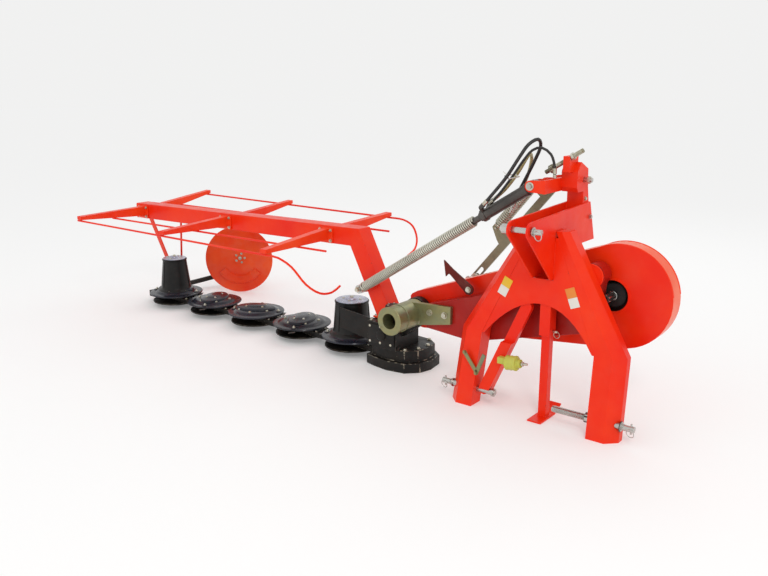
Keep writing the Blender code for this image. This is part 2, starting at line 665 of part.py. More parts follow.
# ---------------------------------------------------------------- lift cylinder
def lift_parts(materials):
    """Barrel hanging on the head pin, rod in it, and the ribbed spring over the rod."""
    head, eye = (HEAD_PIN_X, HEAD_PIN_Z), (LIFT_EYE_X, LIFT_EYE_Z)
    length = math.hypot(head[0] - eye[0], head[1] - eye[1])

    def at(distance):
        x, z = along_line(head, eye, distance)
        return Vector((x, LIFT_Y, z))
    bm = new_mesh()
    tube_between(bm, at(0.015), at(BARREL_SHOULDER), BARREL_RADIUS, 0, 18)
    barrel = finish(bm, "lift_barrel", at(0), materials["black"])
    join(barrel, lambda bm: tube_between(bm, at(BARREL_SHOULDER - 0.020), at(BARREL_LENGTH),
                                         BARREL_TUBE_RADIUS))
    join(barrel, lambda bm: tube_between(bm, (head[0], LIFT_Y - 0.024, head[1]),
                                         (head[0], LIFT_Y + 0.024, head[1]), 0.026, 0, 16))
    slope = (head[1] - eye[1]) / (head[0] - eye[0])
    for route in (BLACK_HOSE, YELLOW_HOSE):
        start, after = smooth_path(route, HOSE_SPACING)[:2]
        heading = (after - start).normalized()
        elbow = start - heading * PORT_LENGTH
        foot = Vector((elbow.x, LIFT_Y, head[1] - (head[0] - elbow.x) * slope))
        past = elbow + (elbow - foot).normalized() * 0.004

        def stub(bm, foot=foot, past=past):
            tube_between(bm, foot, past, PORT_RADIUS)

        def nut(bm, elbow=elbow, end=start - heading * GAP):
            tube_between(bm, elbow, end, PORT_RADIUS + 0.0015, 0, 6)
        join(barrel, stub)
        join(barrel, nut)
    cut_round(barrel, at(0.045), at(BARREL_LENGTH + 0.1), BARREL_BORE_RADIUS)
    cut_round(barrel, (head[0], 0, head[1]), (head[0], 0.3, head[1]), HEAD_PIN_RADIUS + CLEAR)

    rod_start = BARREL_LENGTH - ROD_INSIDE
    bm = new_mesh()
    tube_between(bm, at(rod_start), at(length - 0.015), ROD_RADIUS, 0, 12)
    rod = finish(bm, "lift_rod", at(length), materials["steel"])
    join(rod, lambda bm: tube_between(bm, (eye[0], LIFT_Y - 0.018, eye[1]), (eye[0], LIFT_Y + 0.018, eye[1]),
                                      0.024, 0, 16))
    join(rod, lambda bm: tube_between(bm, (eye[0], LIFT_Y - 0.028, eye[1]), (eye[0], LIFT_Y, eye[1]),
                                      0.012, 0, 6))

    bm = new_mesh()
    tube_between(bm, at(LIFT_SPRING_TOP), at(length - 0.028), LIFT_SPRING_RADIUS, LIFT_SPRING_BORE, 16)
    finish(bm, "lift_spring", at(length), materials["spring"])


# ---------------------------------------------------------------- cutter bar
def disc_x(index):
    return INNER_DISC_X - DISC_PITCH * index


def bar_end_x():
    """Outer end of the bar, just past its last skid."""
    return disc_x(DISC_COUNT - 1) - SKID_RADIUS - 0.020


def cutter_bar(material):
    """Gear case of the bar with a round skid under each disc."""
    outer_x = bar_end_x()
    bm = new_mesh()
    block(bm, (outer_x, SHOE_OUTER_X - GAP), (BAR_Y - BAR_WIDTH / 2, BAR_Y + BAR_WIDTH / 2),
          (BAR_LOW, BAR_HIGH))
    bar = finish(bm, "cutter_bar", (INNER_DISC_X, BAR_Y, BAR_LOW), material)
    for index in range(DISC_COUNT):
        centre = (disc_x(index), BAR_Y, 0.0)
        skid = [(0.0, SKID_LOW), (SKID_RADIUS * 0.72, SKID_LOW), (SKID_RADIUS, SKID_LOW + 0.014),
                (SKID_RADIUS, SKID_HIGH), (0.06, SKID_HIGH + 0.010), (0.0, SKID_HIGH + 0.010)]
        join(bar, lambda bm, centre=centre, skid=skid: turned(bm, skid, centre, 28))
        join(bar, lambda bm, centre=centre: tube_between(bm, (centre[0], BAR_Y, BAR_LOW + 0.01),
                                                         (centre[0], BAR_Y, DISC_UNDERSIDE - 0.002),
                                                         SPINDLE_RADIUS))
    return bar


def disc(index, material):
    """One cutting disc with two short blades; the first and the last carry a drum."""
    centre = Vector((disc_x(index), BAR_Y, DISC_UNDERSIDE))
    top = DISC_EDGE + DISC_CROWN
    profile = [(0.0, 0.0), (DISC_RADIUS, 0.004), (DISC_RADIUS, DISC_EDGE),
               (DISC_RADIUS * 0.86, DISC_EDGE + 0.006)]
    if index in (0, DISC_COUNT - 1):
        base, crown, height = INNER_DRUM if index == 0 else OUTER_DRUM
        profile += [(base + 0.016, top - 0.020), (base, top - 0.008), (crown, top + height - 0.010),
                    (crown - 0.012, top + height), (0.0, top + height)]
    else:
        profile += [(0.062, top - 0.006), (0.045, top), (0.0, top)]
    bm = new_mesh()
    turned(bm, profile, centre, 32)
    piece = finish(bm, f"disc_{index + 1}", centre, material)
    turn = math.radians(90.0 * (index % 2) + 25.0)
    heading = Vector((math.cos(turn), math.sin(turn)))
    across = Vector((-heading.y, heading.x))
    root, tip, half = 0.130, BLADE_REACH - 0.003, 0.022
    for sign in (-1, 1):
        corners = [centre.xy + heading * sign * along + across * wide
                   for along, wide in ((root, -half), (tip, -half), (tip, half), (root, half))]
        outline = [(point.x, point.y) for point in corners]
        join(piece, lambda bm, outline=outline: prism(bm, outline, "z", DISC_UNDERSIDE - 0.003,
                                                      DISC_UNDERSIDE + 0.006))
    return piece


def inner_shoe(material):
    """Casting under the fold axis: broad sole with a rounded nose and a raised deck."""
    sole = [(SHOE_OUTER_X, 0.100), (-1.040, 0.082), (-0.940, 0.066), (-0.830, 0.082), (-0.768, 0.145),
            (SHOE_INNER_X, 0.220), (-0.768, 0.330), (-0.840, 0.385), (-1.000, 0.400), (SHOE_OUTER_X, 0.350)]
    bm = new_mesh()
    prism(bm, sole, "z", 0.0, 0.055)
    shoe = finish(bm, "inner_shoe", (-0.930, BAR_Y, 0.0), material, smooth=False)
    middle = Vector((-0.925, 0.230))
    deck = [tuple(middle + (Vector(point) - middle) * 0.86) for point in sole]
    join(shoe, lambda bm: prism(bm, deck, "z", 0.050, SHOE_HIGH))
    return shoe


def gearbox(material):
    """Gear housing on the shoe: block, round cover, neck and the journal that turns in the pivot tube."""
    low = SHOE_HIGH + GAP
    bm = new_mesh()
    block(bm, (-1.065, -0.872), (0.068, 0.272), (low, GEARBOX_TOP))
    box = finish(bm, "gearbox", (FOLD_X, 0.15, FOLD_Z), material)
    join(box, lambda bm: tube_between(bm, (-0.918, 0.105, GEARBOX_TOP - 0.02), (-0.918, 0.105, 0.362),
                                      0.040, 0, 20))
    neck = belt_outline((-0.895, 0.215), 0.035, (FOLD_X, FOLD_Z), 0.074)
    join(box, lambda bm: prism(bm, neck, "y", PIVOT_TUBE_REAR + 0.002, BEAM_REAR))
    join(box, lambda bm: tube_between(bm, (FOLD_X, -0.030, FOLD_Z), (FOLD_X, 0.150, FOLD_Z),
                                      PIVOT_BORE_RADIUS - CLEAR, 0, 28))
    return box


def inner_shield(material):
    """Upright plate between the inner drum and the shoe."""
    bm = new_mesh()
    outline = [(-1.290, 0.170), (-1.066, 0.135), (-1.066, 0.262), (-1.290, 0.285)]
    prism(bm, outline, "y", 0.098, 0.106)
    plate = finish(bm, "inner_shield", (-1.066, 0.102, 0.2), material, smooth=False)
    join(plate, lambda bm: block(bm, (-1.100, -1.0655), (0.098, 0.150), (0.150, 0.250)))
    return plate


def carrier_tube(material):
    """Square tube that rises from the gearbox, bends and runs out over the discs."""
    half = TUBE_SIZE / 2
    foot, bend, end = (TUBE_FOOT_X, TUBE_FOOT_Z), (TUBE_BEND_X, TUBE_BEND_Z), (TUBE_END_X, TUBE_END_Z)
    first, second = Vector(foot) - Vector(bend), Vector(end) - Vector(bend)
    mitre = (first.normalized() + second.normalized()).normalized()
    reach = half / abs(Vector((second.y, -second.x)).normalized().dot(mitre))
    inside, outside = Vector(bend) + mitre * reach, Vector(bend) - mitre * reach
    side = Vector((-first.y, first.x)).normalized()
    spread = half / abs(side.x)
    up = Vector((second.y, -second.x)).normalized() * half
    up = up if up.y > 0 else -up
    outline = [(foot[0] + spread, foot[1]), tuple(outside), tuple(Vector(end) + up), tuple(Vector(end) - up),
               tuple(inside), (foot[0] - spread, foot[1])]
    bm = new_mesh()
    prism(bm, outline, "y", TUBE_Y - half, TUBE_Y + half)
    return finish(bm, "carrier_tube", (TUBE_BEND_X, TUBE_Y, TUBE_BEND_Z), material, smooth=False)


def lift_eye_pin(material):
    """Plate on the tube's front with the stub that the rod's eye swings beside."""
    front = TUBE_Y - TUBE_SIZE / 2 - GAP
    bm = new_mesh()
    outline = strip_outline((LIFT_EYE_X, LIFT_EYE_Z), (LIFT_EYE_X + 0.060, LIFT_EYE_Z + 0.030), 0.026)
    prism(bm, outline, "y", front - 0.012, front)
    lug = finish(bm, "lift_lug", (LIFT_EYE_X, front, LIFT_EYE_Z), material)
    join(lug, lambda bm: tube_between(bm, (LIFT_EYE_X, LIFT_Y + 0.0235, LIFT_EYE_Z),
                                      (LIFT_EYE_X, front - 0.006, LIFT_EYE_Z), 0.016))
    return lug


def tube_centre_z(x):
    share = (x - TUBE_BEND_X) / (TUBE_END_X - TUBE_BEND_X)
    return TUBE_BEND_Z + (TUBE_END_Z - TUBE_BEND_Z) * share


def rib_x(index):
    return RIB_OUTER_X + RIB_PITCH * index


def rib_underside(x, y):
    """Height of a rib's lower edge where a rod passes under it."""
    centre = tube_centre_z(x)
    if y < TUBE_Y:
        root, tip, tip_z = TUBE_Y - TUBE_SIZE / 2, RIB_FRONT_TIP_Y, RIB_FRONT_TIP_Z
    else:
        root, tip, tip_z = TUBE_Y + TUBE_SIZE / 2, RIB_REAR_TIP_Y, RIB_REAR_TIP_Z
    root_z = centre - RIB_ROOT_DROP
    return root_z + (tip_z - root_z) * (y - root) / (tip - root)


def ribs(material):
    """Tapered cross members bolted on both sides of the carrier tube."""
    half = TUBE_SIZE / 2
    for index in range(RIB_COUNT):
        x = rib_x(index)
        centre = tube_centre_z(x)
        for word, sign, tip_y, tip_z in (("front", -1, RIB_FRONT_TIP_Y, RIB_FRONT_TIP_Z),
                                         ("rear", 1, RIB_REAR_TIP_Y, RIB_REAR_TIP_Z)):
            face = TUBE_Y + sign * (half + GAP)
            flange = face + sign * RIB_FLANGE
            outline = [(face, centre - 0.042), (flange, centre - 0.042), (flange, centre - RIB_ROOT_DROP),
                       (tip_y, tip_z), (tip_y, tip_z + RIB_TIP_DEPTH), (flange, centre + 0.034),
                       (face, centre + 0.034)]
            bm = new_mesh()
            prism(bm, outline, "x", x - RIB_WIDTH / 2, x + RIB_WIDTH / 2)
            finish(bm, f"{word}_rib_{index + 1}", (x, face, centre), material, smooth=False)


def smooth_path(points, spacing=0.03):
    """Points every so often along a smooth curve through the given ones."""
    points = [Vector(p) for p in points]
    path = [points[0]]
    for i in range(len(points) - 1):
        before = points[max(i - 1, 0)]
        after = points[min(i + 2, len(points) - 1)]
        a, b = points[i], points[i + 1]
        steps = max(1, round((b - a).length / spacing))
        for k in range(1, steps + 1):
            t = k / steps
            path.append(0.5 * ((2 * a) + (b - before) * t + (2 * before - 5 * a + 4 * b - after) * t * t
                               + (3 * a - before - 3 * b + after) * t * t * t))
    return path


def swept_rod(name, path, radius, material, bevel=2):
    """A round rod or hose along a list of points, as a curve with filled ends."""
    curve = bpy.data.curves.new(name, "CURVE")
    curve.dimensions = "3D"
    curve.bevel_depth = radius
    curve.bevel_resolution = bevel
    curve.use_fill_caps = True
    line = curve.splines.new("POLY")
    line.points.add(len(path) - 1)
    start = Vector(path[0])
    for point, place in zip(line.points, path):
        point.co = (*(Vector(place) - start), 1.0)
    curve.materials.append(material)
    piece = bpy.data.objects.new(name, curve)
    piece.location = start
    bpy.context.scene.collection.objects.link(piece)
    return piece


def tarp_rods(material):
    """Four thin rods under the ribs; the outer two bend down and inward at their inner ends."""
    outer_x, inner_x = RIB_OUTER_X - 0.030, rib_x(RIB_COUNT - 1)
    drop = ROD_BAR_RADIUS + 0.0020
    front_y, rear_y = RIB_FRONT_TIP_Y + 0.010, RIB_REAR_TIP_Y - 0.010
    mid_front = TUBE_Y + (front_y - TUBE_Y) * INNER_ROD_SHARE
    mid_rear = TUBE_Y + (rear_y - TUBE_Y) * INNER_ROD_SHARE

    def straight(y, start_x, end_x):
        count = 8
        xs = [start_x + (end_x - start_x) * i / count for i in range(count + 1)]
        return [(x, y, rib_underside(x, y) - drop) for x in xs]
    swept_rod("front_inner_rod", straight(mid_front, outer_x, inner_x + 0.20), ROD_BAR_RADIUS, material)
    swept_rod("rear_inner_rod", straight(mid_rear, outer_x, inner_x + 0.20), ROD_BAR_RADIUS, material)
    front_z = rib_underside(inner_x, front_y) - drop
    curl = [(inner_x + 0.03, front_y, front_z), (-1.320, front_y, 0.640), (-1.240, -0.325, 0.600),
            (-1.180, -0.285, 0.510), (-1.140, -0.225, 0.458), (-1.125, -0.150, 0.450),
            (-1.130, -0.080, 0.470)]
    swept_rod("front_outer_rod", straight(front_y, outer_x, inner_x)[:-1] + smooth_path(curl), ROD_BAR_RADIUS,
              material)
    rear_z = rib_underside(inner_x, rear_y) - drop
    curl = [(inner_x + 0.03, rear_y, rear_z), (-1.300, rear_y, 0.698), (-1.220, 0.690, 0.670),
            (-1.160, 0.650, 0.610), (-1.130, 0.590, 0.560), (-1.115, 0.500, 0.536)]
    swept_rod("rear_outer_rod", straight(rear_y, outer_x, inner_x)[:-1] + smooth_path(curl), ROD_BAR_RADIUS,
              material)


def swath_arm(material):
    """Block on the bar's outer end and the bent arm that carries the swath disc's hub."""
    end = bar_end_x() - GAP
    axis = swath_axis()
    hub = Vector((SWATH_X, SWATH_Y, SWATH_RADIUS)) - axis * (SWATH_HUB + 0.001)
    reach = SWATH_ARM_SIZE
    bm = new_mesh()
    block(bm, (end - 0.062, end), (BAR_Y - 0.05, BAR_Y + 0.05), (0.030, BAR_HIGH))
    arm = finish(bm, "swath_arm", (end, BAR_Y, 0.05), material, smooth=False)
    outer = end - 0.040
    stations = [Vector((outer, BAR_Y, 0.056)), Vector((outer, 0.600, 0.060)), Vector((-2.985, 0.838, 0.110)),
                hub - axis * 0.050, hub]
    for start, finish_point in zip(stations, stations[1:]):
        run = (finish_point - start).normalized() * reach * 0.6
        a = start if start is stations[0] else start - run
        b = finish_point if finish_point is stations[-1] else finish_point + run
        join(arm, lambda bm, a=a, b=b: tube_between(bm, a, b, reach, 0, 12))
    return arm


def swath_axis():
    """Direction that the swath disc's face looks in."""
    turn = math.radians(SWATH_TURN)
    return Vector((math.sin(turn), -math.cos(turn), 0.0))


def swath_disc(material):
    """Dished disc that stands on the ground behind the outer cutting disc."""
    axis = swath_axis()
    turn = axis.to_track_quat("Z", "Y").to_matrix()
    radius = SWATH_RADIUS
    profile = [(0.0, 0.0), (0.07, 0.002), (radius * 0.62, 0.024), (radius - 0.006, 0.046), (radius, 0.044),
               (radius * 0.62, 0.018), (0.07, -0.005), (0.045, -0.006), (0.045, -SWATH_HUB),
               (0.0, -SWATH_HUB)]
    bm = new_mesh()
    turned(bm, profile, (SWATH_X, SWATH_Y, radius), 32, turn)
    return finish(bm, "swath_disc", (SWATH_X, SWATH_Y, radius), material)


def straps(material):
    """A flat strap and a thin rod from the tube's outer part down to the swath disc's arm."""
    half = TUBE_SIZE / 2
    foot_x = bar_end_x() - GAP - 0.040
    for name, top_x, low_y, width in (("outer_strap", foot_x, 0.400, 0.038),
                                      ("inner_strap", foot_x + 0.330, 0.440, 0)):
        top = Vector((top_x, TUBE_Y + 0.020, tube_centre_z(top_x) - half - 0.006))
        low = Vector((foot_x, low_y, 0.056 + SWATH_ARM_SIZE + 0.010))
        bm = new_mesh()
        if width:
            side = Vector((width / 2, 0.0, 0.0))
            turn = (low - top).normalized().cross(side.normalized()) * STRAP_THICKNESS / 2
            corners = ((-1, -1), (1, -1), (1, 1), (-1, 1))
            rings = [[bm.verts.new(end + a * side + b * turn) for a, b in corners] for end in (top, low)]
            bm.faces.new(rings[0])
            bm.faces.new(list(reversed(rings[1])))
            for i in range(4):
                bm.faces.new((rings[0][i], rings[1][i], rings[1][(i + 1) % 4], rings[0][(i + 1) % 4]))
        else:
            tube_between(bm, top, low, 0.007, 0, 8)
        finish(bm, name, top, material)


# ---------------------------------------------------------------- drive
def input_shaft(material):
    """Splined stub in front, large pulley inside the guard."""
    bm = new_mesh()
    back = GUARD_REAR - GUARD_WALL - 0.010
    profile = [(0.0, 0.0), (DRIVE_SHAFT_RADIUS - 0.002, 0.0), (DRIVE_SHAFT_RADIUS, 0.004),
               (DRIVE_SHAFT_RADIUS, 0.120), (0.045, 0.120), (0.045, 0.132), (PULLEY_RADIUS, 0.136),
               (PULLEY_RADIUS, back - 0.095), (0.0, back - 0.095)]
    turned(bm, profile, (DRIVE_X, 0.095, DRIVE_Z), 32, Vector((0, 1, 0)).to_track_quat("Z", "X").to_matrix())
    return finish(bm, "input_shaft", (DRIVE_X, 0.095, DRIVE_Z), material)


# ---------------------------------------------------------------- hoses
def hoses(materials):
    """Two hoses tied up beside the barrel; each leaves a port, loops over the head and ends in a coupler."""
    for name, route, kind in (("black_hose", BLACK_HOSE, "rubber"), ("yellow_hose", YELLOW_HOSE, "hose")):
        path = smooth_path(route, HOSE_SPACING)
        swept_rod(name, path, HOSE_RADIUS, materials[kind])
        tip, before = path[-1], path[-2]
        heading = (tip - before).normalized()
        start = tip + heading * GAP
        round_pin(name.replace("hose", "coupler"), start, start + heading * 0.055, 0.009, materials["steel"],
                  [(0.006, 0.018, 0.014)])


def centre_on_footprint():
    """Move every piece so that the origin is the middle of the footprint, on the ground."""
    bpy.context.view_layer.update()
    pieces = [p for p in bpy.data.objects if "hose" not in p.name and "coupler" not in p.name]
    corners = [p.matrix_world @ Vector(c) for p in pieces for c in p.bound_box]
    middle = Vector(((min(c.x for c in corners) + max(c.x for c in corners)) / 2,
                     (min(c.y for c in corners) + max(c.y for c in corners)) / 2,
                     min(c.z for c in corners)))
    for piece in bpy.data.objects:
        piece.location -= middle


def clear_scene():
    for piece in list(bpy.data.objects):
        bpy.data.objects.remove(piece)


def main():
    clear_scene()
    materials = make_materials()
    red, zinc, black, steel = (materials[key] for key in ("red", "zinc", "black", "steel"))
    arch_plate(red)
    leg_channel("left_leg", -1, red)
    leg_channel("right_leg", 1, red)
    mast_plate("left_mast_plate", -1, red)
    mast_plate("right_mast_plate", 1, red)
    mast_head(red)
    head_lugs(red)
    round_pin("head_pin", (HEAD_PIN_X, 0.036, HEAD_PIN_Z), (HEAD_PIN_X, 0.366, HEAD_PIN_Z),
              HEAD_PIN_RADIUS, steel)
    round_pin("head_cross_pin", (-0.038, 0.275, 1.080), (0.078, 0.275, 1.080), HEAD_PIN_RADIUS, steel)
    top_link_pin(steel)
    hitch_pins(steel)
    arm_hinge(red)
    arm_pivot_pin(steel)
    stand_sleeve(red)
    adjusting_rod(steel)
    diagonal_brace(materials)
    parking_stand(red)
    arm_beam(red)
    belt_guard(red)
    pivot_arm(zinc)
    relief_pin(steel)
    input_shaft(steel)
    relief_parts(materials)
    transport_hook(materials["dark_red"])
    lift_parts(materials)
    cutter_bar(black)
    for index in range(DISC_COUNT):
        disc(index, materials["disc"])
    inner_shoe(black)
    gearbox(black)
    inner_shield(black)
    carrier_tube(red)
    lift_eye_pin(red)
    ribs(red)
    tarp_rods(red)
    swath_arm(black)
    swath_disc(red)
    straps(red)
    hoses(materials)
    centre_on_footprint()


main()
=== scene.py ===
# %% [markdown]
# A disc mower, finished
# ======================
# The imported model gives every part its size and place. This lesson dresses it: painted sheet steel with
# worn edges, blackened castings, plated fittings, coiled springs, bolts, welds and two tied-up hoses.

# %% Load the frame
import json
import math
import random

import bmesh
import bpy
from mathutils import Matrix, Vector


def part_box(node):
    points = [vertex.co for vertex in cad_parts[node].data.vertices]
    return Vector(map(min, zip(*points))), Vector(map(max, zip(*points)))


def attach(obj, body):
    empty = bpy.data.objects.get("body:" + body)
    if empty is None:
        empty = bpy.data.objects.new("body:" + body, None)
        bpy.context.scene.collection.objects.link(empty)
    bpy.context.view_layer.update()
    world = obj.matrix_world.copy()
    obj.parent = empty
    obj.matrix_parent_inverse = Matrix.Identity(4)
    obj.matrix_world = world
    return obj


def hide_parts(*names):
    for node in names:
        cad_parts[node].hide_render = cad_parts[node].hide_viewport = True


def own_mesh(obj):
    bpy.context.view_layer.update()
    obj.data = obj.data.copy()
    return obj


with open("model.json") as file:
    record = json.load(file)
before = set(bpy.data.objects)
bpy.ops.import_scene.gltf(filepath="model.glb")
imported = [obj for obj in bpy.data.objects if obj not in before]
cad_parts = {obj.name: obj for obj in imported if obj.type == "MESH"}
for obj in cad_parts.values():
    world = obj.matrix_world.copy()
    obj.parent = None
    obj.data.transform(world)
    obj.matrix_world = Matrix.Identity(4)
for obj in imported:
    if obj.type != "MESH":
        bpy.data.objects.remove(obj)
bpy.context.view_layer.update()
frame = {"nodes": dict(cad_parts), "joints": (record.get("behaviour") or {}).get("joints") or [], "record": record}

record = frame["record"]
BODY_OF = {node: body for body, nodes in record["behaviour"]["bodies"].items() for node in nodes}
JOINTS = {joint["name"]: joint for joint in frame["joints"]}

# %% [markdown]
# The hitch is the natural place to measure from: X from the middle of the mast, Y from the back face of
# the front plate, Z from the ground. hitch() turns such a place into a point of the model.

# %% Places measured from the hitch
mast_low, mast_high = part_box("left_mast_plate")[0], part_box("right_mast_plate")[1]
HITCH = Vector(((mast_low.x + mast_high.x) / 2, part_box("arch_plate")[1].y, 0.0))


def hitch(x, y, z):
    return HITCH + Vector((x, y, z))


def joint_point(name):
    return Vector(JOINTS[name]["pos_m"])


print("hitch datum", [round(v, 4) for v in HITCH])

# %% [markdown]
# The camera stands low in front of the headstock and looks along the cutter bar, so that the near leg is
# large and the swath disc is small. It is made first, because the hoses are measured against its view.

# %% Camera
CAMERA_AZIMUTH = math.radians(38.0)
CAMERA_PITCH = math.radians(14.5)
camera_data = bpy.data.cameras.new("studio_camera")
camera_data.sensor_width = 36.0
camera_data.lens = 37.8
camera_data.clip_end = 100.0
camera = bpy.data.objects.new("studio_camera", camera_data)
forward = Vector((-math.sin(CAMERA_AZIMUTH) * math.cos(CAMERA_PITCH),
                  math.cos(CAMERA_AZIMUTH) * math.cos(CAMERA_PITCH), -math.sin(CAMERA_PITCH)))
camera.location = hitch(1.579, -3.172, 1.520)
camera.rotation_mode = "QUATERNION"
camera.rotation_quaternion = forward.to_track_quat("-Z", "Y")
bpy.context.scene.collection.objects.link(camera)
bpy.context.scene.camera = camera
bpy.context.view_layer.update()
print("camera at", [round(v, 3) for v in camera.location])

# %% [markdown]
# Two hydraulic hoses leave ports on the lift cylinder, loop up over the mast and hang back down, tied
# together while the machine is parked. A hose is a fixed length of something that bends, so each one is a
# single smooth line through a few places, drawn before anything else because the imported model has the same
# line. The coupler at its free end is turned steel.

# %% Hose routes
HOSE_DIAMETER = 0.016
HOSE_STEP = 0.020
BLACK_ROUTE = [(-0.350, 0.050, 0.958), (-0.300, 0.040, 1.010), (-0.235, 0.045, 1.090), (-0.180, 0.062, 1.185),
               (-0.150, 0.085, 1.240), (-0.125, 0.125, 1.262), (-0.130, 0.163, 1.228),
               (-0.168, 0.185, 1.160), (-0.215, 0.195, 1.075), (-0.262, 0.200, 0.990)]
RETURN_DIAMETER = 0.012
RETURN_ROUTE = [(-0.338, 0.094, 0.960), (-0.292, 0.094, 1.010), (-0.232, 0.097, 1.090),
                (-0.180, 0.099, 1.166), (-0.140, 0.105, 1.214), (-0.100, 0.118, 1.226),
                (-0.064, 0.136, 1.198), (-0.050, 0.148, 1.150), (-0.0475, 0.150, 1.106)]
YELLOW_ROUTE = [(-0.345, 0.132, 0.972), (-0.295, 0.148, 1.022), (-0.235, 0.150, 1.100),
                (-0.200, 0.152, 1.160),
                (-0.190, 0.175, 1.190), (-0.200, 0.215, 1.170), (-0.228, 0.248, 1.100),
                (-0.272, 0.258, 1.005), (-0.300, 0.258, 0.945)]


def smooth_path(points, spacing):
    """Points every so often along a smooth curve through the given ones."""
    points = [Vector(p) for p in points]
    path = [points[0]]
    for i in range(len(points) - 1):
        before, after = points[max(i - 1, 0)], points[min(i + 2, len(points) - 1)]
        a, b = points[i], points[i + 1]
        steps = max(1, round((b - a).length / spacing))
        for k in range(1, steps + 1):
            t = k / steps
            path.append(0.5 * ((2 * a) + (b - before) * t + (2 * before - 5 * a + 4 * b - after) * t * t
                               + (3 * a - before - 3 * b + after) * t * t * t))
    return path


def hose_line(name, route, diameter=HOSE_DIAMETER):
    """A hose as one open curve, round and closed at both ends; returns it with its points."""
    path = [hitch(*point) for point in smooth_path(route, HOSE_STEP)]
    curve = bpy.data.curves.new(name, "CURVE")
    curve.dimensions = "3D"
    curve.bevel_depth = diameter / 2
    curve.bevel_resolution = 5
    curve.use_fill_caps = True
    line = curve.splines.new("POLY")
    line.points.add(len(path) - 1)
    for point, place in zip(line.points, path):
        point.co = (*place, 1.0)
    hose = bpy.data.objects.new(name, curve)
    bpy.context.scene.collection.objects.link(hose)
    return hose, path


def run_length(path):
    return sum((b - a).length for a, b in zip(path, path[1:]))


black_line, black_path = hose_line("black_hose_line", BLACK_ROUTE)
yellow_line, yellow_path = hose_line("yellow_hose_line", YELLOW_ROUTE)
return_line, return_path = hose_line("return_hose_line", RETURN_ROUTE, RETURN_DIAMETER)
print("hoses", round(run_length(black_path), 3), round(run_length(yellow_path), 3), "m")

# %% [markdown]
# A finish is a small node network. Every network here reads Object coordinates, which stay put on each
# piece, and mixes noise at two or three sizes: broad patches of fading, small specks and a fine bump.
# Edges that were rounded carry an attribute called wear, so that paint can rub through only there.

# %% Node helpers
def new_finish(name):
    material = bpy.data.materials.new(name)
    material.use_nodes = True
    return material, material.node_tree.nodes, material.node_tree.links


def noise(nodes, links, scale, detail=3.0, roughness=0.55, stretch=(1.0, 1.0, 1.0)):
    """Object-space noise; returns its factor socket."""
    place = nodes.new("ShaderNodeTexCoord")
    shape = nodes.new("ShaderNodeMapping")
    shape.inputs["Scale"].default_value = stretch
    texture = nodes.new("ShaderNodeTexNoise")
    texture.inputs["Scale"].default_value = scale
    texture.inputs["Detail"].default_value = detail
    texture.inputs["Roughness"].default_value = roughness
    links.new(place.outputs["Object"], shape.inputs["Vector"])
    links.new(shape.outputs["Vector"], texture.inputs["Vector"])
    return texture.outputs["Fac"]


def ramp(nodes, links, source, stops):
    """Colour ramp through (position, colour) stops; returns its colour socket."""
    node = nodes.new("ShaderNodeValToRGB")
    while len(node.color_ramp.elements) < len(stops):
        node.color_ramp.elements.new(0.5)
    for element, (position, colour) in zip(node.color_ramp.elements, stops):
        element.position = position
        element.color = (*colour, 1.0) if len(colour) == 3 else colour
    links.new(source, node.inputs["Fac"])
    return node.outputs["Color"]


def grey(value):
    return (value, value, value)


def mix(nodes, links, factor, first, second):
    """Mix two colours by a socket or number; returns the result socket."""
    node = nodes.new("ShaderNodeMix")
    node.data_type = "RGBA"
    for socket, value in ((node.inputs[0], factor), (node.inputs[6], first), (node.inputs[7], second)):
        if isinstance(value, bpy.types.NodeSocket):
            links.new(value, socket)
        elif isinstance(value, tuple):
            socket.default_value = (*value, 1.0)
        else:
            socket.default_value = value
    return node.outputs[2]


def multiply(nodes, links, first, second):
    node = nodes.new("ShaderNodeMath")
    node.operation = "MULTIPLY"
    for socket, value in zip(node.inputs, (first, second)):
        if isinstance(value, bpy.types.NodeSocket):
            links.new(value, socket)
        else:
            socket.default_value = value
    return node.outputs[0]


def bump(nodes, links, height, strength, distance):
    node = nodes.new("ShaderNodeBump")
    node.inputs["Strength"].default_value = strength
    node.inputs["Distance"].default_value = distance
    links.new(height, node.inputs["Height"])
    return node.outputs["Normal"]


print("node helpers ready")

# %% [markdown]
# Sprayed paint on farm steel is glossy but never even: the coat is thick in one place and thin in the
# next, dust clings low down, and the edges show the darker primer or bare metal. One function makes every
# paint, from its own colour, its faded colour and what lies under it.

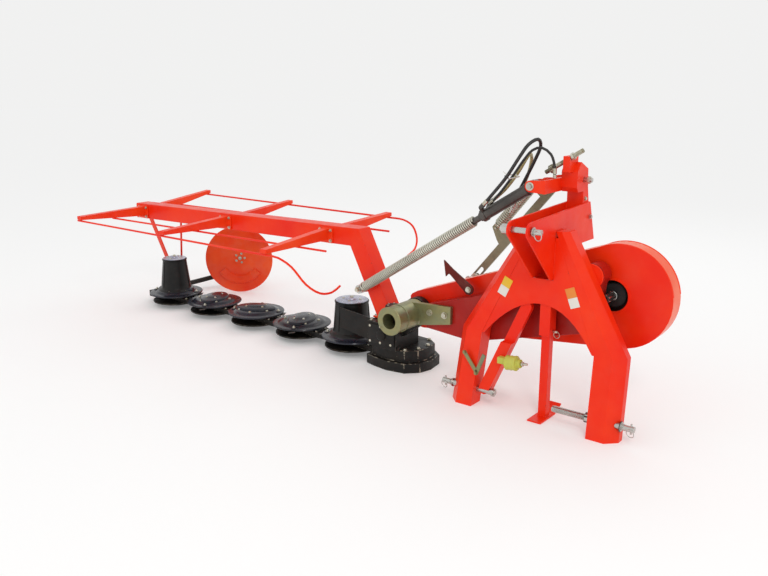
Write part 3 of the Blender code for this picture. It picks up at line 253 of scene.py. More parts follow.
# %% Painted finishes
def painted(name, colour, faded, under, roughness=(0.28, 0.45), dust=0.25, coat=0.25, peel=0.10, chips=0.62):
    material, nodes, links = new_finish(name)
    shader = nodes["Principled BSDF"]
    patches = ramp(nodes, links, noise(nodes, links, 3.0, 4.0), [(0.38, grey(0.0)), (0.68, grey(1.0))])
    base = mix(nodes, links, patches, colour, faded)
    speck = ramp(nodes, links, noise(nodes, links, 60.0, 4.0, 0.7), [(0.66, grey(0.0)), (0.76, grey(1.0))])
    base = mix(nodes, links, multiply(nodes, links, speck, 0.16), base, under)
    cloud = ramp(nodes, links, noise(nodes, links, 9.0, 5.0, 0.7), [(0.45, grey(0.0)), (0.75, grey(1.0))])
    base = mix(nodes, links, multiply(nodes, links, cloud, dust), base, (0.42, 0.36, 0.29))
    worn = nodes.new("ShaderNodeAttribute")
    worn.attribute_name = "wear"
    rub = ramp(nodes, links, noise(nodes, links, 35.0, 4.0, 0.7),
               [(chips - 0.08, grey(0.0)), (chips, grey(1.0))])
    chip = multiply(nodes, links, worn.outputs["Fac"], rub)
    base = mix(nodes, links, chip, base, under)
    links.new(base, shader.inputs["Base Color"])
    low, high = roughness
    gloss = ramp(nodes, links, noise(nodes, links, 22.0, 4.0), [(0.3, grey(low)), (0.7, grey(high))])
    links.new(gloss, shader.inputs["Roughness"])
    links.new(bump(nodes, links, noise(nodes, links, 260.0, 2.0), peel, 0.0006), shader.inputs["Normal"])
    shader.inputs["Coat Weight"].default_value = coat
    shader.inputs["Coat Roughness"].default_value = 0.16
    shader.inputs["Specular IOR Level"].default_value = 0.20
    return material


RED = painted("red_paint", (0.83, 0.016, 0.001), (0.90, 0.040, 0.004), (0.42, 0.030, 0.018), dust=0.03,
              coat=0.06, chips=0.68)
# A lighter, more orange copy of the same red paint, for parts that stand in the light: painted sunlight on the
# ribs, their plates and the guard lip.
SUNLIT_RED = painted("sunlit_red_paint", (0.86, 0.028, 0.002), (0.92, 0.064, 0.009), (0.45, 0.05, 0.03),
                     dust=0.03, coat=0.08, chips=0.68)
# A lighter, more orange and glossier copy of the red for the guard's rim band: a painted highlight.
RIM_HIGHLIGHT_RED = painted("rim_highlight_red_paint", (0.90, 0.095, 0.020), (0.93, 0.150, 0.042), (0.45, 0.06, 0.03),
                  dust=0.05, coat=0.25, chips=0.66)
SWATH_RED = painted("swath_red_paint", (0.82, 0.040, 0.005), (0.90, 0.110, 0.022), (0.40, 0.06, 0.03),
                    dust=0.12, coat=0.08)
# A much darker copy of the red paint for the arm beam: painted shade where the mast shades it.
SHADED_RED = painted("shaded_red_paint", (0.34, 0.006, 0.003), (0.46, 0.012, 0.005), (0.08, 0.010, 0.008),
                   dust=0.05, coat=0.10)
RUSTY_RED = painted("worn_dark_red_paint", (0.10, 0.008, 0.005), (0.17, 0.016, 0.010), (0.05, 0.022, 0.014),
                    roughness=(0.45, 0.7), dust=0.10, coat=0.0, peel=0.3, chips=0.5)
DISC_PAINT = painted("disc_paint", (0.006, 0.007, 0.013), (0.011, 0.014, 0.028), (0.14, 0.13, 0.12),
                     roughness=(0.20, 0.40), dust=0.04, coat=0.25, chips=0.52)
DRUM_PAINT = painted("drum_paint", (0.006, 0.006, 0.006), (0.011, 0.011, 0.010), (0.12, 0.11, 0.09),
                     roughness=(0.28, 0.46), dust=0.03, coat=0.10, chips=0.6)
LIME = painted("yellow_green_paint", (0.46, 0.46, 0.050), (0.58, 0.58, 0.12), (0.20, 0.20, 0.08), dust=0.1)
WHITE_MARK = painted("white_plate_paint", (0.80, 0.78, 0.72), (0.72, 0.69, 0.62), (0.5, 0.3, 0.2), coat=0.1)
YELLOW_MARK = painted("yellow_plate_paint", (0.82, 0.52, 0.03), (0.75, 0.46, 0.05), (0.5, 0.3, 0.1), coat=0.1)
ORANGE_MARK = painted("orange_plate_paint", (0.80, 0.28, 0.04), (0.74, 0.24, 0.05), (0.5, 0.3, 0.1), coat=0.1)

# %% [markdown]
# Castings keep the grain of the sand mould under their black paint, with oily brown stains in the corners
# and bright nicks where stones have hit. The grain is geometry-scale noise in the bump, at two sizes.

# %% Cast finish
def cast(name, colour, stain, nick):
    material, nodes, links = new_finish(name)
    shader = nodes["Principled BSDF"]
    broad = ramp(nodes, links, noise(nodes, links, 7.0, 5.0, 0.65), [(0.40, grey(0.0)), (0.72, grey(1.0))])
    base = mix(nodes, links, broad, colour, stain)
    worn = nodes.new("ShaderNodeAttribute")
    worn.attribute_name = "wear"
    rub = ramp(nodes, links, noise(nodes, links, 40.0, 4.0, 0.7), [(0.50, grey(0.0)), (0.58, grey(1.0))])
    hit = ramp(nodes, links, noise(nodes, links, 55.0, 3.0, 0.6), [(0.70, grey(0.0)), (0.74, grey(1.0))])
    base = mix(nodes, links, multiply(nodes, links, worn.outputs["Fac"], rub), base, nick)
    base = mix(nodes, links, multiply(nodes, links, hit, 0.6), base, nick)
    links.new(base, shader.inputs["Base Color"])
    gloss = ramp(nodes, links, noise(nodes, links, 18.0, 4.0), [(0.3, grey(0.30)), (0.7, grey(0.62))])
    links.new(gloss, shader.inputs["Roughness"])
    grain = mix(nodes, links, 0.4, noise(nodes, links, 140.0, 4.0, 0.7), noise(nodes, links, 24.0, 3.0))
    links.new(bump(nodes, links, grain, 0.55, 0.0016), shader.inputs["Normal"])
    shader.inputs["Specular IOR Level"].default_value = 0.3
    return material


CASTING = cast("black_casting", (0.004, 0.0035, 0.003), (0.013, 0.009, 0.005), (0.24, 0.21, 0.16))

# %% [markdown]
# Bare and plated metals are metallic shaders. What tells them apart is the tint, how far the tint wanders
# and the direction of the scratches: drawn bars are scratched along, turned pins around.

# %% Metal finishes
def metal(name, colour, tint, roughness, scratch=(1.0, 1.0, 1.0), metallic=1.0, rust=0.0, patch=6.0):
    material, nodes, links = new_finish(name)
    shader = nodes["Principled BSDF"]
    wander = ramp(nodes, links, noise(nodes, links, patch, 4.0, 0.6), [(0.35, grey(0.0)), (0.65, grey(1.0))])
    base = mix(nodes, links, wander, colour, tint)
    if rust:
        spots = ramp(nodes, links, noise(nodes, links, 28.0, 6.0, 0.75),
                     [(0.56, grey(0.0)), (0.66, grey(rust))])
        base = mix(nodes, links, spots, base, (0.16, 0.06, 0.025))
    links.new(base, shader.inputs["Base Color"])
    low, high = roughness
    lines = noise(nodes, links, 120.0, 3.0, 0.6, scratch)
    links.new(ramp(nodes, links, lines, [(0.3, grey(low)), (0.7, grey(high))]), shader.inputs["Roughness"])
    links.new(bump(nodes, links, lines, 0.18, 0.0004), shader.inputs["Normal"])
    shader.inputs["Metallic"].default_value = metallic
    return material


ZINC = metal("olive_zinc", (0.34, 0.30, 0.12), (0.22, 0.24, 0.15), (0.30, 0.48), metallic=0.75, rust=0.3)
GREY_ZINC = metal("grey_zinc_bar", (0.30, 0.27, 0.17), (0.20, 0.19, 0.13), (0.34, 0.5),
                  metallic=0.7, rust=0.5)
STEEL = metal("bright_steel", (0.60, 0.59, 0.56), (0.46, 0.45, 0.42), (0.20, 0.38), rust=0.12)
BOLT_ZINC = metal("bolt_zinc", (0.66, 0.64, 0.56), (0.50, 0.47, 0.36), (0.24, 0.42), patch=30.0)
SPRING = metal("spring_steel", (0.52, 0.52, 0.43), (0.40, 0.39, 0.30), (0.30, 0.46), metallic=0.6)
SPRING_LIGHT = metal("light_spring_steel", (0.62, 0.61, 0.52), (0.50, 0.49, 0.41), (0.30, 0.45),
                     metallic=0.45)
CAP_STEEL = metal("cap_steel", (0.52, 0.56, 0.66), (0.30, 0.33, 0.42), (0.22, 0.40), metallic=0.5, patch=14.0)
DARK_STEEL = metal("dark_oily_steel", (0.055, 0.052, 0.048), (0.11, 0.10, 0.09), (0.28, 0.5), metallic=0.6)

# %% [markdown]
# Rubber is nearly black and soft in the light, with a faint dusty bloom. An image or plain colour could do,
# but a cloud of noise in the object's own space breaks the evenness at any distance. Nylon shares the recipe.

# %% Rubber and hose finishes
def rubber(name, colour, bloom, roughness):
    material, nodes, links = new_finish(name)
    shader = nodes["Principled BSDF"]
    cloud = ramp(nodes, links, noise(nodes, links, 30.0, 4.0), [(0.42, grey(0.0)), (0.70, grey(1.0))])
    links.new(mix(nodes, links, cloud, colour, bloom), shader.inputs["Base Color"])
    low, high = roughness
    gloss = ramp(nodes, links, noise(nodes, links, 60.0, 3.0), [(0.3, grey(low)), (0.7, grey(high))])
    links.new(gloss, shader.inputs["Roughness"])
    links.new(bump(nodes, links, noise(nodes, links, 300.0, 2.0), 0.15, 0.0005), shader.inputs["Normal"])
    return material


RUBBER = rubber("black_hose_cover", (0.010, 0.010, 0.010), (0.035, 0.034, 0.031), (0.35, 0.55))
YELLOW_RUBBER = rubber("yellow_hose_cover", (0.36, 0.31, 0.12), (0.46, 0.42, 0.22), (0.35, 0.5))
NYLON = rubber("white_nylon", (0.80, 0.79, 0.74), (0.70, 0.69, 0.62), (0.3, 0.45))
# SHADOW is near-black matte rubber: painted shade, used for the seal that fills the guard hole.
SHADOW = rubber("hole_shade_rubber", (0.006, 0.006, 0.006), (0.02, 0.018, 0.016), (0.6, 0.8))

# %% [markdown]
# Every new piece ends the same way: normals made to face out, a mesh, smooth shading with sharp edges
# kept, one finish, the body that it rides on, and the CAD nodes that it stands for.

# %% Finishing a piece
SHARP = math.radians(32.0)


def settle(piece, body, replaces=()):
    if piece.name not in bpy.context.scene.collection.objects:
        bpy.context.scene.collection.objects.link(piece)
    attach(piece, body)
    if replaces:
        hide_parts(*replaces)
    return piece


def piece_from(bm, name, material, body, replaces=(), smooth=True, recalc=True):
    if recalc:
        bmesh.ops.recalc_face_normals(bm, faces=bm.faces)
    mesh = bpy.data.meshes.new(name)
    bm.to_mesh(mesh)
    bm.free()
    mesh.materials.append(material)
    if smooth:
        mesh.shade_smooth()
        mesh.set_sharp_from_angle(angle=SHARP)
    return settle(bpy.data.objects.new(name, mesh), body, replaces)


def turn_to(direction, up="Y"):
    """Rotation that carries +Z to the direction."""
    return Vector(direction).to_track_quat("Z", up).to_matrix().to_4x4()


def bar(bm, start, end, radius, sides=16, end_radius=None, edge=0.0):
    """Round bar between two points, with softened end edges where edge is given."""
    start, end = Vector(start), Vector(end)
    made = bmesh.ops.create_cone(bm, cap_ends=True, segments=sides, radius1=radius,
                                 radius2=radius if end_radius is None else end_radius,
                                 depth=(end - start).length)
    place = Matrix.Translation((start + end) / 2) @ turn_to(end - start)
    bmesh.ops.transform(bm, matrix=place, verts=made["verts"])
    if edge:
        rims = [e for e in {e for v in made["verts"] for e in v.link_edges}
                if abs(len(e.link_faces[0].verts) - len(e.link_faces[1].verts)) > 0 or sides == 4]
        bmesh.ops.bevel(bm, geom=rims, offset=edge, segments=2, profile=0.5, affect="EDGES", material=-1)


def slab(bm, low, high, edge=0.0):
    """Box between two corners, with rounded edges where edge is given."""
    low, high = Vector(low), Vector(high)
    made = bmesh.ops.create_cube(bm, size=1.0)
    size = high - low
    place = Matrix.Translation((low + high) / 2) @ Matrix.Diagonal((*size, 1.0))
    bmesh.ops.transform(bm, matrix=place, verts=made["verts"])
    if edge:
        edges = list({e for v in made["verts"] for e in v.link_edges})
        bmesh.ops.bevel(bm, geom=edges, offset=edge, segments=2, profile=0.5, affect="EDGES", material=-1)
    return made["verts"]


def spun(bm, profile, centre, direction=(0, 0, 1), steps=48):
    """Revolve a profile of (radius, height), which starts and ends on the axis, about the direction."""
    part = bmesh.new()
    verts = [part.verts.new((radius, 0.0, height)) for radius, height in profile]
    edges = [part.edges.new(pair) for pair in zip(verts, verts[1:])]
    bmesh.ops.spin(part, geom=verts + edges, cent=(0, 0, 0), axis=(0, 0, 1), angle=math.tau,
                   steps=steps, use_merge=True)
    bmesh.ops.remove_doubles(part, verts=part.verts, dist=1e-6)
    bmesh.ops.transform(part, matrix=Matrix.Translation(Vector(centre)) @ turn_to(direction),
                        verts=part.verts)
    pour(part, bm)


def pour(part, bm):
    """Move one bmesh into another."""
    mesh = bpy.data.meshes.new("pour")
    part.to_mesh(mesh)
    part.free()
    bm.from_mesh(mesh)
    bpy.data.meshes.remove(mesh)


def bolt(bm, place, direction, size=0.010, washer=True, tail=0.0):
    """Hexagon head with its washer, standing on place; tail adds the end of a thread."""
    place, direction = Vector(place), Vector(direction).normalized()
    base = 0.0
    if washer:
        base = size * 0.18
        bar(bm, place - direction * 0.0004, place + direction * base, size * 1.15, 18)
    top = place + direction * (base + size * 0.64)
    bar(bm, place + direction * (base - 0.0002), top, size * 0.95, 6, size * 0.90)
    if tail:
        bar(bm, top - direction * 0.0005, top + direction * tail, size * 0.5, 12, size * 0.42)


def weld(bm, start, end, radius=0.004, seed=1):
    """Bead of overlapping drops along a seam."""
    start, end = Vector(start), Vector(end)
    chance = random.Random(seed)
    count = max(2, round((end - start).length / (radius * 1.5)))
    for i in range(count + 1):
        size = radius * chance.uniform(0.85, 1.15)
        spot = Matrix.Translation(start.lerp(end, i / count)) @ Matrix.Diagonal((1, 1, 1, 1))
        bmesh.ops.create_icosphere(bm, subdivisions=1, radius=size, matrix=spot)


def coil(bm, start, end, radius, wire, turns, steps=16, sides=6):
    """Helical wire from start to end."""
    start, end = Vector(start), Vector(end)
    length = (end - start).length
    part = bmesh.new()
    stand = Matrix.Translation((radius, 0, 0)) @ Matrix.Rotation(math.radians(90), 4, "X")
    made = bmesh.ops.create_circle(part, segments=sides, radius=wire, matrix=stand)
    rim = [edge for edge in part.edges]
    count = round(turns * steps)
    bmesh.ops.spin(part, geom=made["verts"] + rim, cent=(0, 0, 0), axis=(0, 0, 1), angle=math.tau * turns,
                   steps=count, dvec=(0, 0, length / count), use_merge=False)
    open_edges = [edge for edge in part.edges if edge.is_boundary]
    bmesh.ops.holes_fill(part, edges=open_edges, sides=sides + 1)
    bmesh.ops.transform(part, matrix=Matrix.Translation(start) @ turn_to(end - start), verts=part.verts)
    pour(part, bm)


print("piece helpers ready")

# %% [markdown]
# Folded and welded plate never has razor edges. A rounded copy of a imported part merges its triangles,
# melts the flat ones together, bevels what is sharp and marks the bevels with the wear attribute. The
# Weighted Normal modifier keeps the broad faces flat under smooth shading.

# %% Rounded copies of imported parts
def flatten_normals(piece):
    modifier = piece.modifiers.new("even_normals", "WEIGHTED_NORMAL")
    modifier.keep_sharp = True
    return piece


def rounded(node, material, width=0.0015, sharp=30.0):
    bm = bmesh.new()
    bm.from_mesh(frame["nodes"][node].data)
    bmesh.ops.remove_doubles(bm, verts=bm.verts, dist=1e-5)
    bmesh.ops.dissolve_limit(bm, angle_limit=math.radians(1.0), verts=bm.verts, edges=bm.edges)
    edges = [e for e in bm.edges if len(e.link_faces) == 2 and e.calc_face_angle(0.0) > math.radians(sharp)]
    made = bmesh.ops.bevel(bm, geom=edges, offset=width, offset_type="OFFSET", segments=2, profile=0.5,
                           affect="EDGES", clamp_overlap=True, material=-1)
    wear = bm.loops.layers.float.new("wear")
    for face in made["faces"]:
        for loop in face.loops:
            loop[wear] = 1.0
    piece = piece_from(bm, node + "_finished", material, BODY_OF[node], (node,), recalc=False)
    return flatten_normals(piece)


RED_PLATES = {
    "arch_plate": 0.0018, "left_leg": 0.0022, "right_leg": 0.0022, "left_mast_plate": 0.0015,
    "right_mast_plate": 0.0015, "mast_head": 0.0030, "head_lugs": 0.0015, "arm_hinge_boss": 0.0020,
    "stand_sleeve": 0.0012, "diagonal_brace": 0.0020, "parking_stand": 0.0020, "arm_beam": 0.0030,
    "belt_guard": 0.0012, "carrier_tube": 0.0050, "lift_lug": 0.0015, "outer_strap": 0.0010,
    "inner_strap": 0.0010,
}
# The arm beam takes the dark copy of the red, which is painted shade; the other plates take the plain red.
for node, width in RED_PLATES.items():
    rounded(node, SHADED_RED if node == "arm_beam" else RED, width)
# The ribs take the lighter copy of the red: painted sunlight.
for index in (1, 2, 3):
    rounded(f"front_rib_{index}", SUNLIT_RED, 0.0020)
    rounded(f"rear_rib_{index}", SUNLIT_RED, 0.0020)
for node, width in (("cutter_bar", 0.0020), ("inner_shoe", 0.0050), ("gearbox", 0.0040),
                    ("inner_shield", 0.0015), ("swath_arm", 0.0015)):
    rounded(node, CASTING, width)
# The guard's side faces, which face neither front nor back, take the rim copy of the red: a painted highlight
# along the rim band.
guard = bpy.data.objects["belt_guard_finished"]
guard.data.materials.append(RIM_HIGHLIGHT_RED)
for face in guard.data.polygons:
    if abs(face.normal.y) < 0.5:
        face.material_index = 1
rounded("pivot_arm", ZINC, 0.0016)
rounded("relief_bar", GREY_ZINC, 0.0012)
rounded("transport_hook", RUSTY_RED, 0.0014)
print("rounded parts done")

# %% [markdown]
# Parts that are already round and exact, such as pins and rods, could be rebuilt with rounded edges. They
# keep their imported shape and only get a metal, because a bevel on them wouldn't show.

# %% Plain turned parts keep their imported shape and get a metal
KEPT = {
    "head_pin": STEEL, "head_cross_pin": STEEL, "top_link_pin": STEEL, "arm_pivot_pin": STEEL,
    "adjusting_rod": GREY_ZINC, "relief_pin": STEEL, "lift_rod": STEEL, "lift_barrel": DARK_STEEL,
    "left_hitch_pin": STEEL, "right_hitch_pin": STEEL,
    "input_shaft": DARK_STEEL,
}
for node in frame["nodes"]:
    mesh = frame["nodes"][node].data
    finish = KEPT.get(node, RED if node.endswith("rod") else DISC_PAINT)
    mesh.materials.clear()
    mesh.materials.append(finish)
print("packed parts painted")

# %% [markdown]
# The couplers are quick-release plugs: a hexagon where the hose is crimped, a knurled sleeve and a nose.
# They are spun from a profile along the hose's last stretch, so they always point the way the hose does.
# A white nylon tie holds the two hoses together.

# %% Hose ends and tie
COUPLER_PROFILE = [(0.0, 0.0), (0.0105, 0.0), (0.0105, 0.006), (0.0135, 0.007), (0.0140, 0.010),
                   (0.0128, 0.012),
                   (0.0140, 0.014), (0.0128, 0.016), (0.0140, 0.018), (0.0128, 0.020), (0.0138, 0.023),
                   (0.0100, 0.025), (0.0090, 0.040), (0.0080, 0.042), (0.0080, 0.053), (0.0066, 0.055),
                   (0.0, 0.055)]
CRIMP_PROFILE = [(0.0, 0.0), (0.0092, 0.0), (0.0098, 0.002), (0.0098, 0.009), (0.0090, 0.010),
                 (0.0098, 0.011),
                 (0.0098, 0.019), (0.0090, 0.020), (0.0098, 0.021), (0.0098, 0.029), (0.0088, 0.031),
                 (0.0, 0.031)]


def hose_end(name, path, node):
    bm = bmesh.new()
    heading = (path[-1] - path[-2]).normalized()
    spun(bm, COUPLER_PROFILE, path[-1] + heading * 0.0004, heading, 28)
    return piece_from(bm, name, STEEL, "lift_cylinder", (node,))


def crimp(name, path):
    bm = bmesh.new()
    heading = (path[1] - path[0]).normalized()
    spun(bm, CRIMP_PROFILE, path[0] - heading * 0.001, heading, 24)
    return piece_from(bm, name, BOLT_ZINC, "lift_cylinder")


for colour, line, path, finish in (("black", black_line, black_path, RUBBER),
                                   ("yellow", yellow_line, yellow_path, YELLOW_RUBBER)):
    line.data.materials.append(finish)
    settle(line, "lift_cylinder", (f"{colour}_hose",))
    plug = hose_end(f"{colour}_plug", path, f"{colour}_coupler")
    sleeve = crimp(f"{colour}_crimp", path)

return_line.data.materials.append(RUBBER)
settle(return_line, "lift_cylinder")
bm = bmesh.new()
heading = (return_path[-1] - return_path[-2]).normalized()
spun(bm, [(r * 0.80, h * 0.48) for r, h in CRIMP_PROFILE], return_path[-1] - heading * 0.0004, heading, 24)
bar(bm, return_path[-1] - heading * 0.030, return_path[-1] - heading * 0.004, 0.0088, 6)
start_heading = (return_path[1] - return_path[0]).normalized()
bar(bm, return_path[0] - start_heading * 0.010, return_path[0] + start_heading * 0.020, 0.0086, 6)
return_ends = piece_from(bm, "return_hose_ends", BOLT_ZINC, "lift_cylinder")
print("hoses finished")

# %% [markdown]
# A hoop is any ring of solid section: a washer, a weld round a boss, a thread's crest, a split ring. It is
# a closed outline of (radius, height) spun about a direction.

# %% Hoops, rings and threads
def hoop(bm, section, centre, direction=(0, 0, 1), steps=32, start=0.0, sweep=360.0, up="Y"):
    """Spin a closed outline of (radius, height); less than a full turn gets flat ends."""
    part = bmesh.new()
    verts = [part.verts.new((radius, 0.0, height)) for radius, height in section]
    face = part.faces.new(verts)
    bmesh.ops.rotate(part, verts=verts, cent=(0, 0, 0), matrix=Matrix.Rotation(math.radians(start), 3, "Z"))
    whole = sweep >= 359.9
    if whole:
        edges = list(part.edges)
        bmesh.ops.delete(part, geom=[face], context="FACES_ONLY")
        geom = list(part.verts) + edges
    else:
        geom = list(part.verts) + list(part.edges) + [face]
    bmesh.ops.spin(part, geom=geom, cent=(0, 0, 0), axis=(0, 0, 1), angle=math.radians(sweep),
                   steps=steps, use_merge=whole)
    bmesh.ops.remove_doubles(part, verts=part.verts, dist=1e-7)
    if not whole:
        holes = [edge for edge in part.edges if edge.is_boundary]
        if holes:
            bmesh.ops.holes_fill(part, edges=holes, sides=len(section) + 1)
    bmesh.ops.transform(part, matrix=Matrix.Translation(Vector(centre)) @ turn_to(direction, up),
                        verts=part.verts)
    pour(part, bm)


def ring_section(radius, wire, sides=8):
    return [(radius + wire * math.cos(math.tau * i / sides), wire * math.sin(math.tau * i / sides))
            for i in range(sides)]


def washer_section(inner, outer, low, high, edge=0.0012):
    return [(inner, low), (outer - edge, low), (outer, low + edge), (outer, high - edge),
            (outer - edge, high),
            (inner, high)]


def thread(bm, start, end, radius, pitch=0.0032):
    """Rows of crests along a rod, which read as a thread."""
    start, end = Vector(start), Vector(end)
    count = int((end - start).length / pitch)
    for i in range(count):
        hoop(bm, ring_section(radius, pitch * 0.34, 4), start.lerp(end, (i + 0.5) / count), end - start, 14)


print("hoop helpers ready")

# %% [markdown]
# The tie is a flat nylon strap pulled round the three rising hoses: two straight runs and two half hoops,
# drawn flat and then turned to lie across the hoses.

# %% Nylon tie
TIE_INNER, TIE_OUTER, TIE_HALF, TIE_REACH = 0.0104, 0.0120, 0.0028, 0.053
tie = bmesh.new()
for way in (-1, 1):
    near, far = sorted((way * TIE_INNER, way * TIE_OUTER))
    slab(tie, (near, -TIE_REACH, -TIE_HALF), (far, TIE_REACH, TIE_HALF))
    strap = [(TIE_INNER, -TIE_HALF), (TIE_OUTER, -TIE_HALF), (TIE_OUTER, TIE_HALF), (TIE_INNER, TIE_HALF)]
    hoop(tie, strap, (0, way * TIE_REACH, 0), (0, 0, 1), 14, 0.0 if way > 0 else 180.0, 180.0)
slab(tie, (-0.0165, -0.030, -0.0045), (-0.0115, -0.022, 0.0045), 0.0008)
slab(tie, (-0.0400, -0.0265, -0.0020), (-0.0160, -0.0255, 0.0020))
rise = Vector((0.55, 0.0, 0.835)).normalized()
across = Vector((0, 1, 0)).cross(rise)
frame_of_tie = Matrix((across, (0, 1, 0), rise)).transposed().to_4x4()
bmesh.ops.transform(tie, matrix=Matrix.Translation(hitch(-0.233, 0.0975, 1.092)) @ frame_of_tie,
                    verts=tie.verts)
piece_from(tie, "hose_tie", NYLON, "lift_cylinder")
print("tie made")

# %% [markdown]
# Springs are the part that a plain tube never gets right, so each one is wound: a small circle is spun and
# lifted a little at every step. The lift spring is long and close-wound over the rod.

# %% Springs
HEAD_PIN = hitch(-0.115, 0.090, 1.060)
ROD_EYE = hitch(-1.130, 0.090, 0.420)
LINK = (ROD_EYE - HEAD_PIN).normalized()
LINK_LENGTH = (ROD_EYE - HEAD_PIN).length
spring_top = HEAD_PIN + LINK * 0.362
spring_foot = HEAD_PIN + LINK * (LINK_LENGTH - 0.030)
bm = bmesh.new()
coil(bm, spring_top, spring_foot, 0.0225, 0.0042, 68, 18, 7)
lift_coil = piece_from(bm, "lift_coil", SPRING_LIGHT, "lift_piston", ("lift_spring",))
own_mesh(lift_coil)
bm = bmesh.new()
hoop(bm, washer_section(0.0118, 0.0265, -0.003, 0.003), spring_foot + LINK * 0.003, LINK, 28)
piece_from(bm, "spring_seat", BOLT_ZINC, "lift_piston")

RELIEF_HEADING = math.radians(230.0)
relief_run = Vector((math.cos(RELIEF_HEADING), 0.0, math.sin(RELIEF_HEADING)))
relief_side = Vector((relief_run.z, 0.0, -relief_run.x))
relief_head = hitch(-0.115, 0.350, 1.060)
coil_top = relief_head + relief_run * 0.135 + relief_side * 0.085
coil_foot = relief_head + relief_run * 0.395 + relief_side * 0.085
bm = bmesh.new()
coil(bm, coil_top, coil_foot, 0.0250, 0.0046, 22, 18, 7)
for end, way in ((coil_top, -1), (coil_foot, 1)):
    bar(bm, end, end + relief_run * way * 0.012, 0.0245, 20, 0.0200, 0.001)
    bar(bm, end + relief_run * way * 0.010, end + relief_run * way * 0.034, 0.0060, 12, edge=0.0006)
piece_from(bm, "relief_coil", SPRING, "relief_link", ("relief_spring",))
bm = bmesh.new()
for end, way in ((coil_top, -1), (coil_foot, 1)):
    place = end + relief_run * way * 0.026
    bar(bm, place - relief_run * way * 0.004, place + relief_run * way * 0.004, 0.0130, 6)
piece_from(bm, "relief_nuts", BOLT_ZINC, "relief_link")
print("springs wound", LINK_LENGTH)

# %% [markdown]
# The breakaway device sits on the diagonal brace: a painted can with a spring in it, a neck and the rod's
# threaded end. The can gets rolled edges and two beads, which its plain cylinder in the frame leaves out.

# %% Breakaway can
can_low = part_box("breakaway_spring")[0]
brace_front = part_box("diagonal_brace")[0].y
CAN_HEADING = Vector((1.0, 0.0, 0.12)).normalized()
can_foot = Vector((can_low.x + 0.052, can_low.y + 0.0350, can_low.z + 0.0350))
bm = bmesh.new()
spun(bm, [(0.0, 0.0), (0.030, 0.0), (0.0345, 0.003), (0.0350, 0.008), (0.0335, 0.011), (0.0335, 0.024),
          (0.0348, 0.027), (0.0335, 0.030), (0.0335, 0.044), (0.0350, 0.047), (0.0350, 0.052),
          (0.0320, 0.0555), (0.0230, 0.0570), (0.0200, 0.0610), (0.0200, 0.0730), (0.0180, 0.0750),
          (0.0, 0.0750)], can_foot, CAN_HEADING, 40)
slab(bm, (can_foot.x - 0.051, can_foot.y, can_foot.z - 0.015), (can_foot.x + 0.010, brace_front,
                                                                can_foot.z + 0.015), 0.002)
piece_from(bm, "breakaway_can", LIME, "headstock", ("breakaway_spring",))
bm = bmesh.new()
rod_foot = can_foot + CAN_HEADING * 0.0735
bar(bm, rod_foot, rod_foot + CAN_HEADING * 0.034, 0.0052, 14, edge=0.0006)
thread(bm, rod_foot + CAN_HEADING * 0.004, rod_foot + CAN_HEADING * 0.032, 0.0052, 0.0026)
bar(bm, rod_foot + CAN_HEADING * 0.004, rod_foot + CAN_HEADING * 0.013, 0.0110, 6)
piece_from(bm, "breakaway_rod", BOLT_ZINC, "headstock")
print("breakaway can made")

# %% [markdown]
# Each cutting disc is pressed and welded: a flat rim that carries two blades on bolts, a step up to a
# raised oval deck, and a ring of cap screws. The oval is a spun dome squashed along one axis and turned to
# the blades' angle. The first and the last disc carry a drum that pushes the crop inwards.

# %% Cutting discs
DISC_CENTRE = hitch(-1.304, 0.220, 0.084)
DISC_PITCH = 0.40
PLATE_PROFILE = [(0.0, 0.0), (0.168, 0.001), (0.1755, 0.003), (0.178, 0.007), (0.1755, 0.0115),
                 (0.166, 0.0135),
                 (0.150, 0.0125), (0.139, 0.015), (0.131, 0.022), (0.122, 0.0265), (0.090, 0.0285),
                 (0.0, 0.030)]
DECK_PROFILE = [(0.0, 0.0), (0.128, 0.0), (0.1275, 0.006), (0.121, 0.0125), (0.108, 0.0155), (0.074, 0.0175),
                (0.066, 0.0205), (0.056, 0.0235), (0.0, 0.0245)]
DRUM_INNER = [(0.0, 0.020), (0.132, 0.020), (0.127, 0.030), (0.112, 0.040), (0.108, 0.050), (0.1065, 0.070),
              (0.0955, 0.205), (0.0985, 0.208), (0.0990, 0.214), (0.0960, 0.2175), (0.090, 0.2180),
              (0.0, 0.2185)]
DRUM_OUTER = [(0.0, 0.020), (0.124, 0.020), (0.118, 0.030), (0.104, 0.040), (0.100, 0.050), (0.098, 0.070),
              (0.0795, 0.232), (0.0825, 0.235), (0.0830, 0.241), (0.0800, 0.2445), (0.074, 0.2450),
              (0.0, 0.2455)]
CAP_PROFILE = [(0.0, 0.0), (0.074, 0.0), (0.0735, 0.003), (0.064, 0.0048), (0.040, 0.0052), (0.030, 0.0065),
               (0.0275, 0.0130), (0.0250, 0.0145), (0.0, 0.0150)]


def disc_turn(index):
    return math.radians(90.0 * (index % 2) + 25.0)


def polar(centre, radius, angle, height):
    return Vector(centre) + Vector((radius * math.cos(angle), radius * math.sin(angle), height))


def disc_plate(index, centre):
    bm = bmesh.new()
    spun(bm, PLATE_PROFILE, centre, steps=72)
    deck = bmesh.new()
    spun(deck, DECK_PROFILE, (0, 0, 0), steps=56)
    bmesh.ops.scale(deck, vec=(1.0, 0.64, 1.0), verts=deck.verts)
    bmesh.ops.rotate(deck, verts=deck.verts, cent=(0, 0, 0), matrix=Matrix.Rotation(disc_turn(index), 3, "Z"))
    bmesh.ops.translate(deck, verts=deck.verts, vec=centre + Vector((0, 0, 0.0265)))
    pour(deck, bm)
    for side in (0, math.pi):
        seat = polar(centre, 0.148, disc_turn(index) + side, 0.009)
        spun(bm, [(0.0, 0.0), (0.022, 0.0), (0.0215, 0.006), (0.018, 0.0085), (0.0, 0.009)], seat, steps=24)
    finish = DISC_PAINT
    piece_from(bm, f"disc_{index + 1}_plate", finish, f"cutting_disc_{index + 1}",
               (f"disc_{index + 1}",))


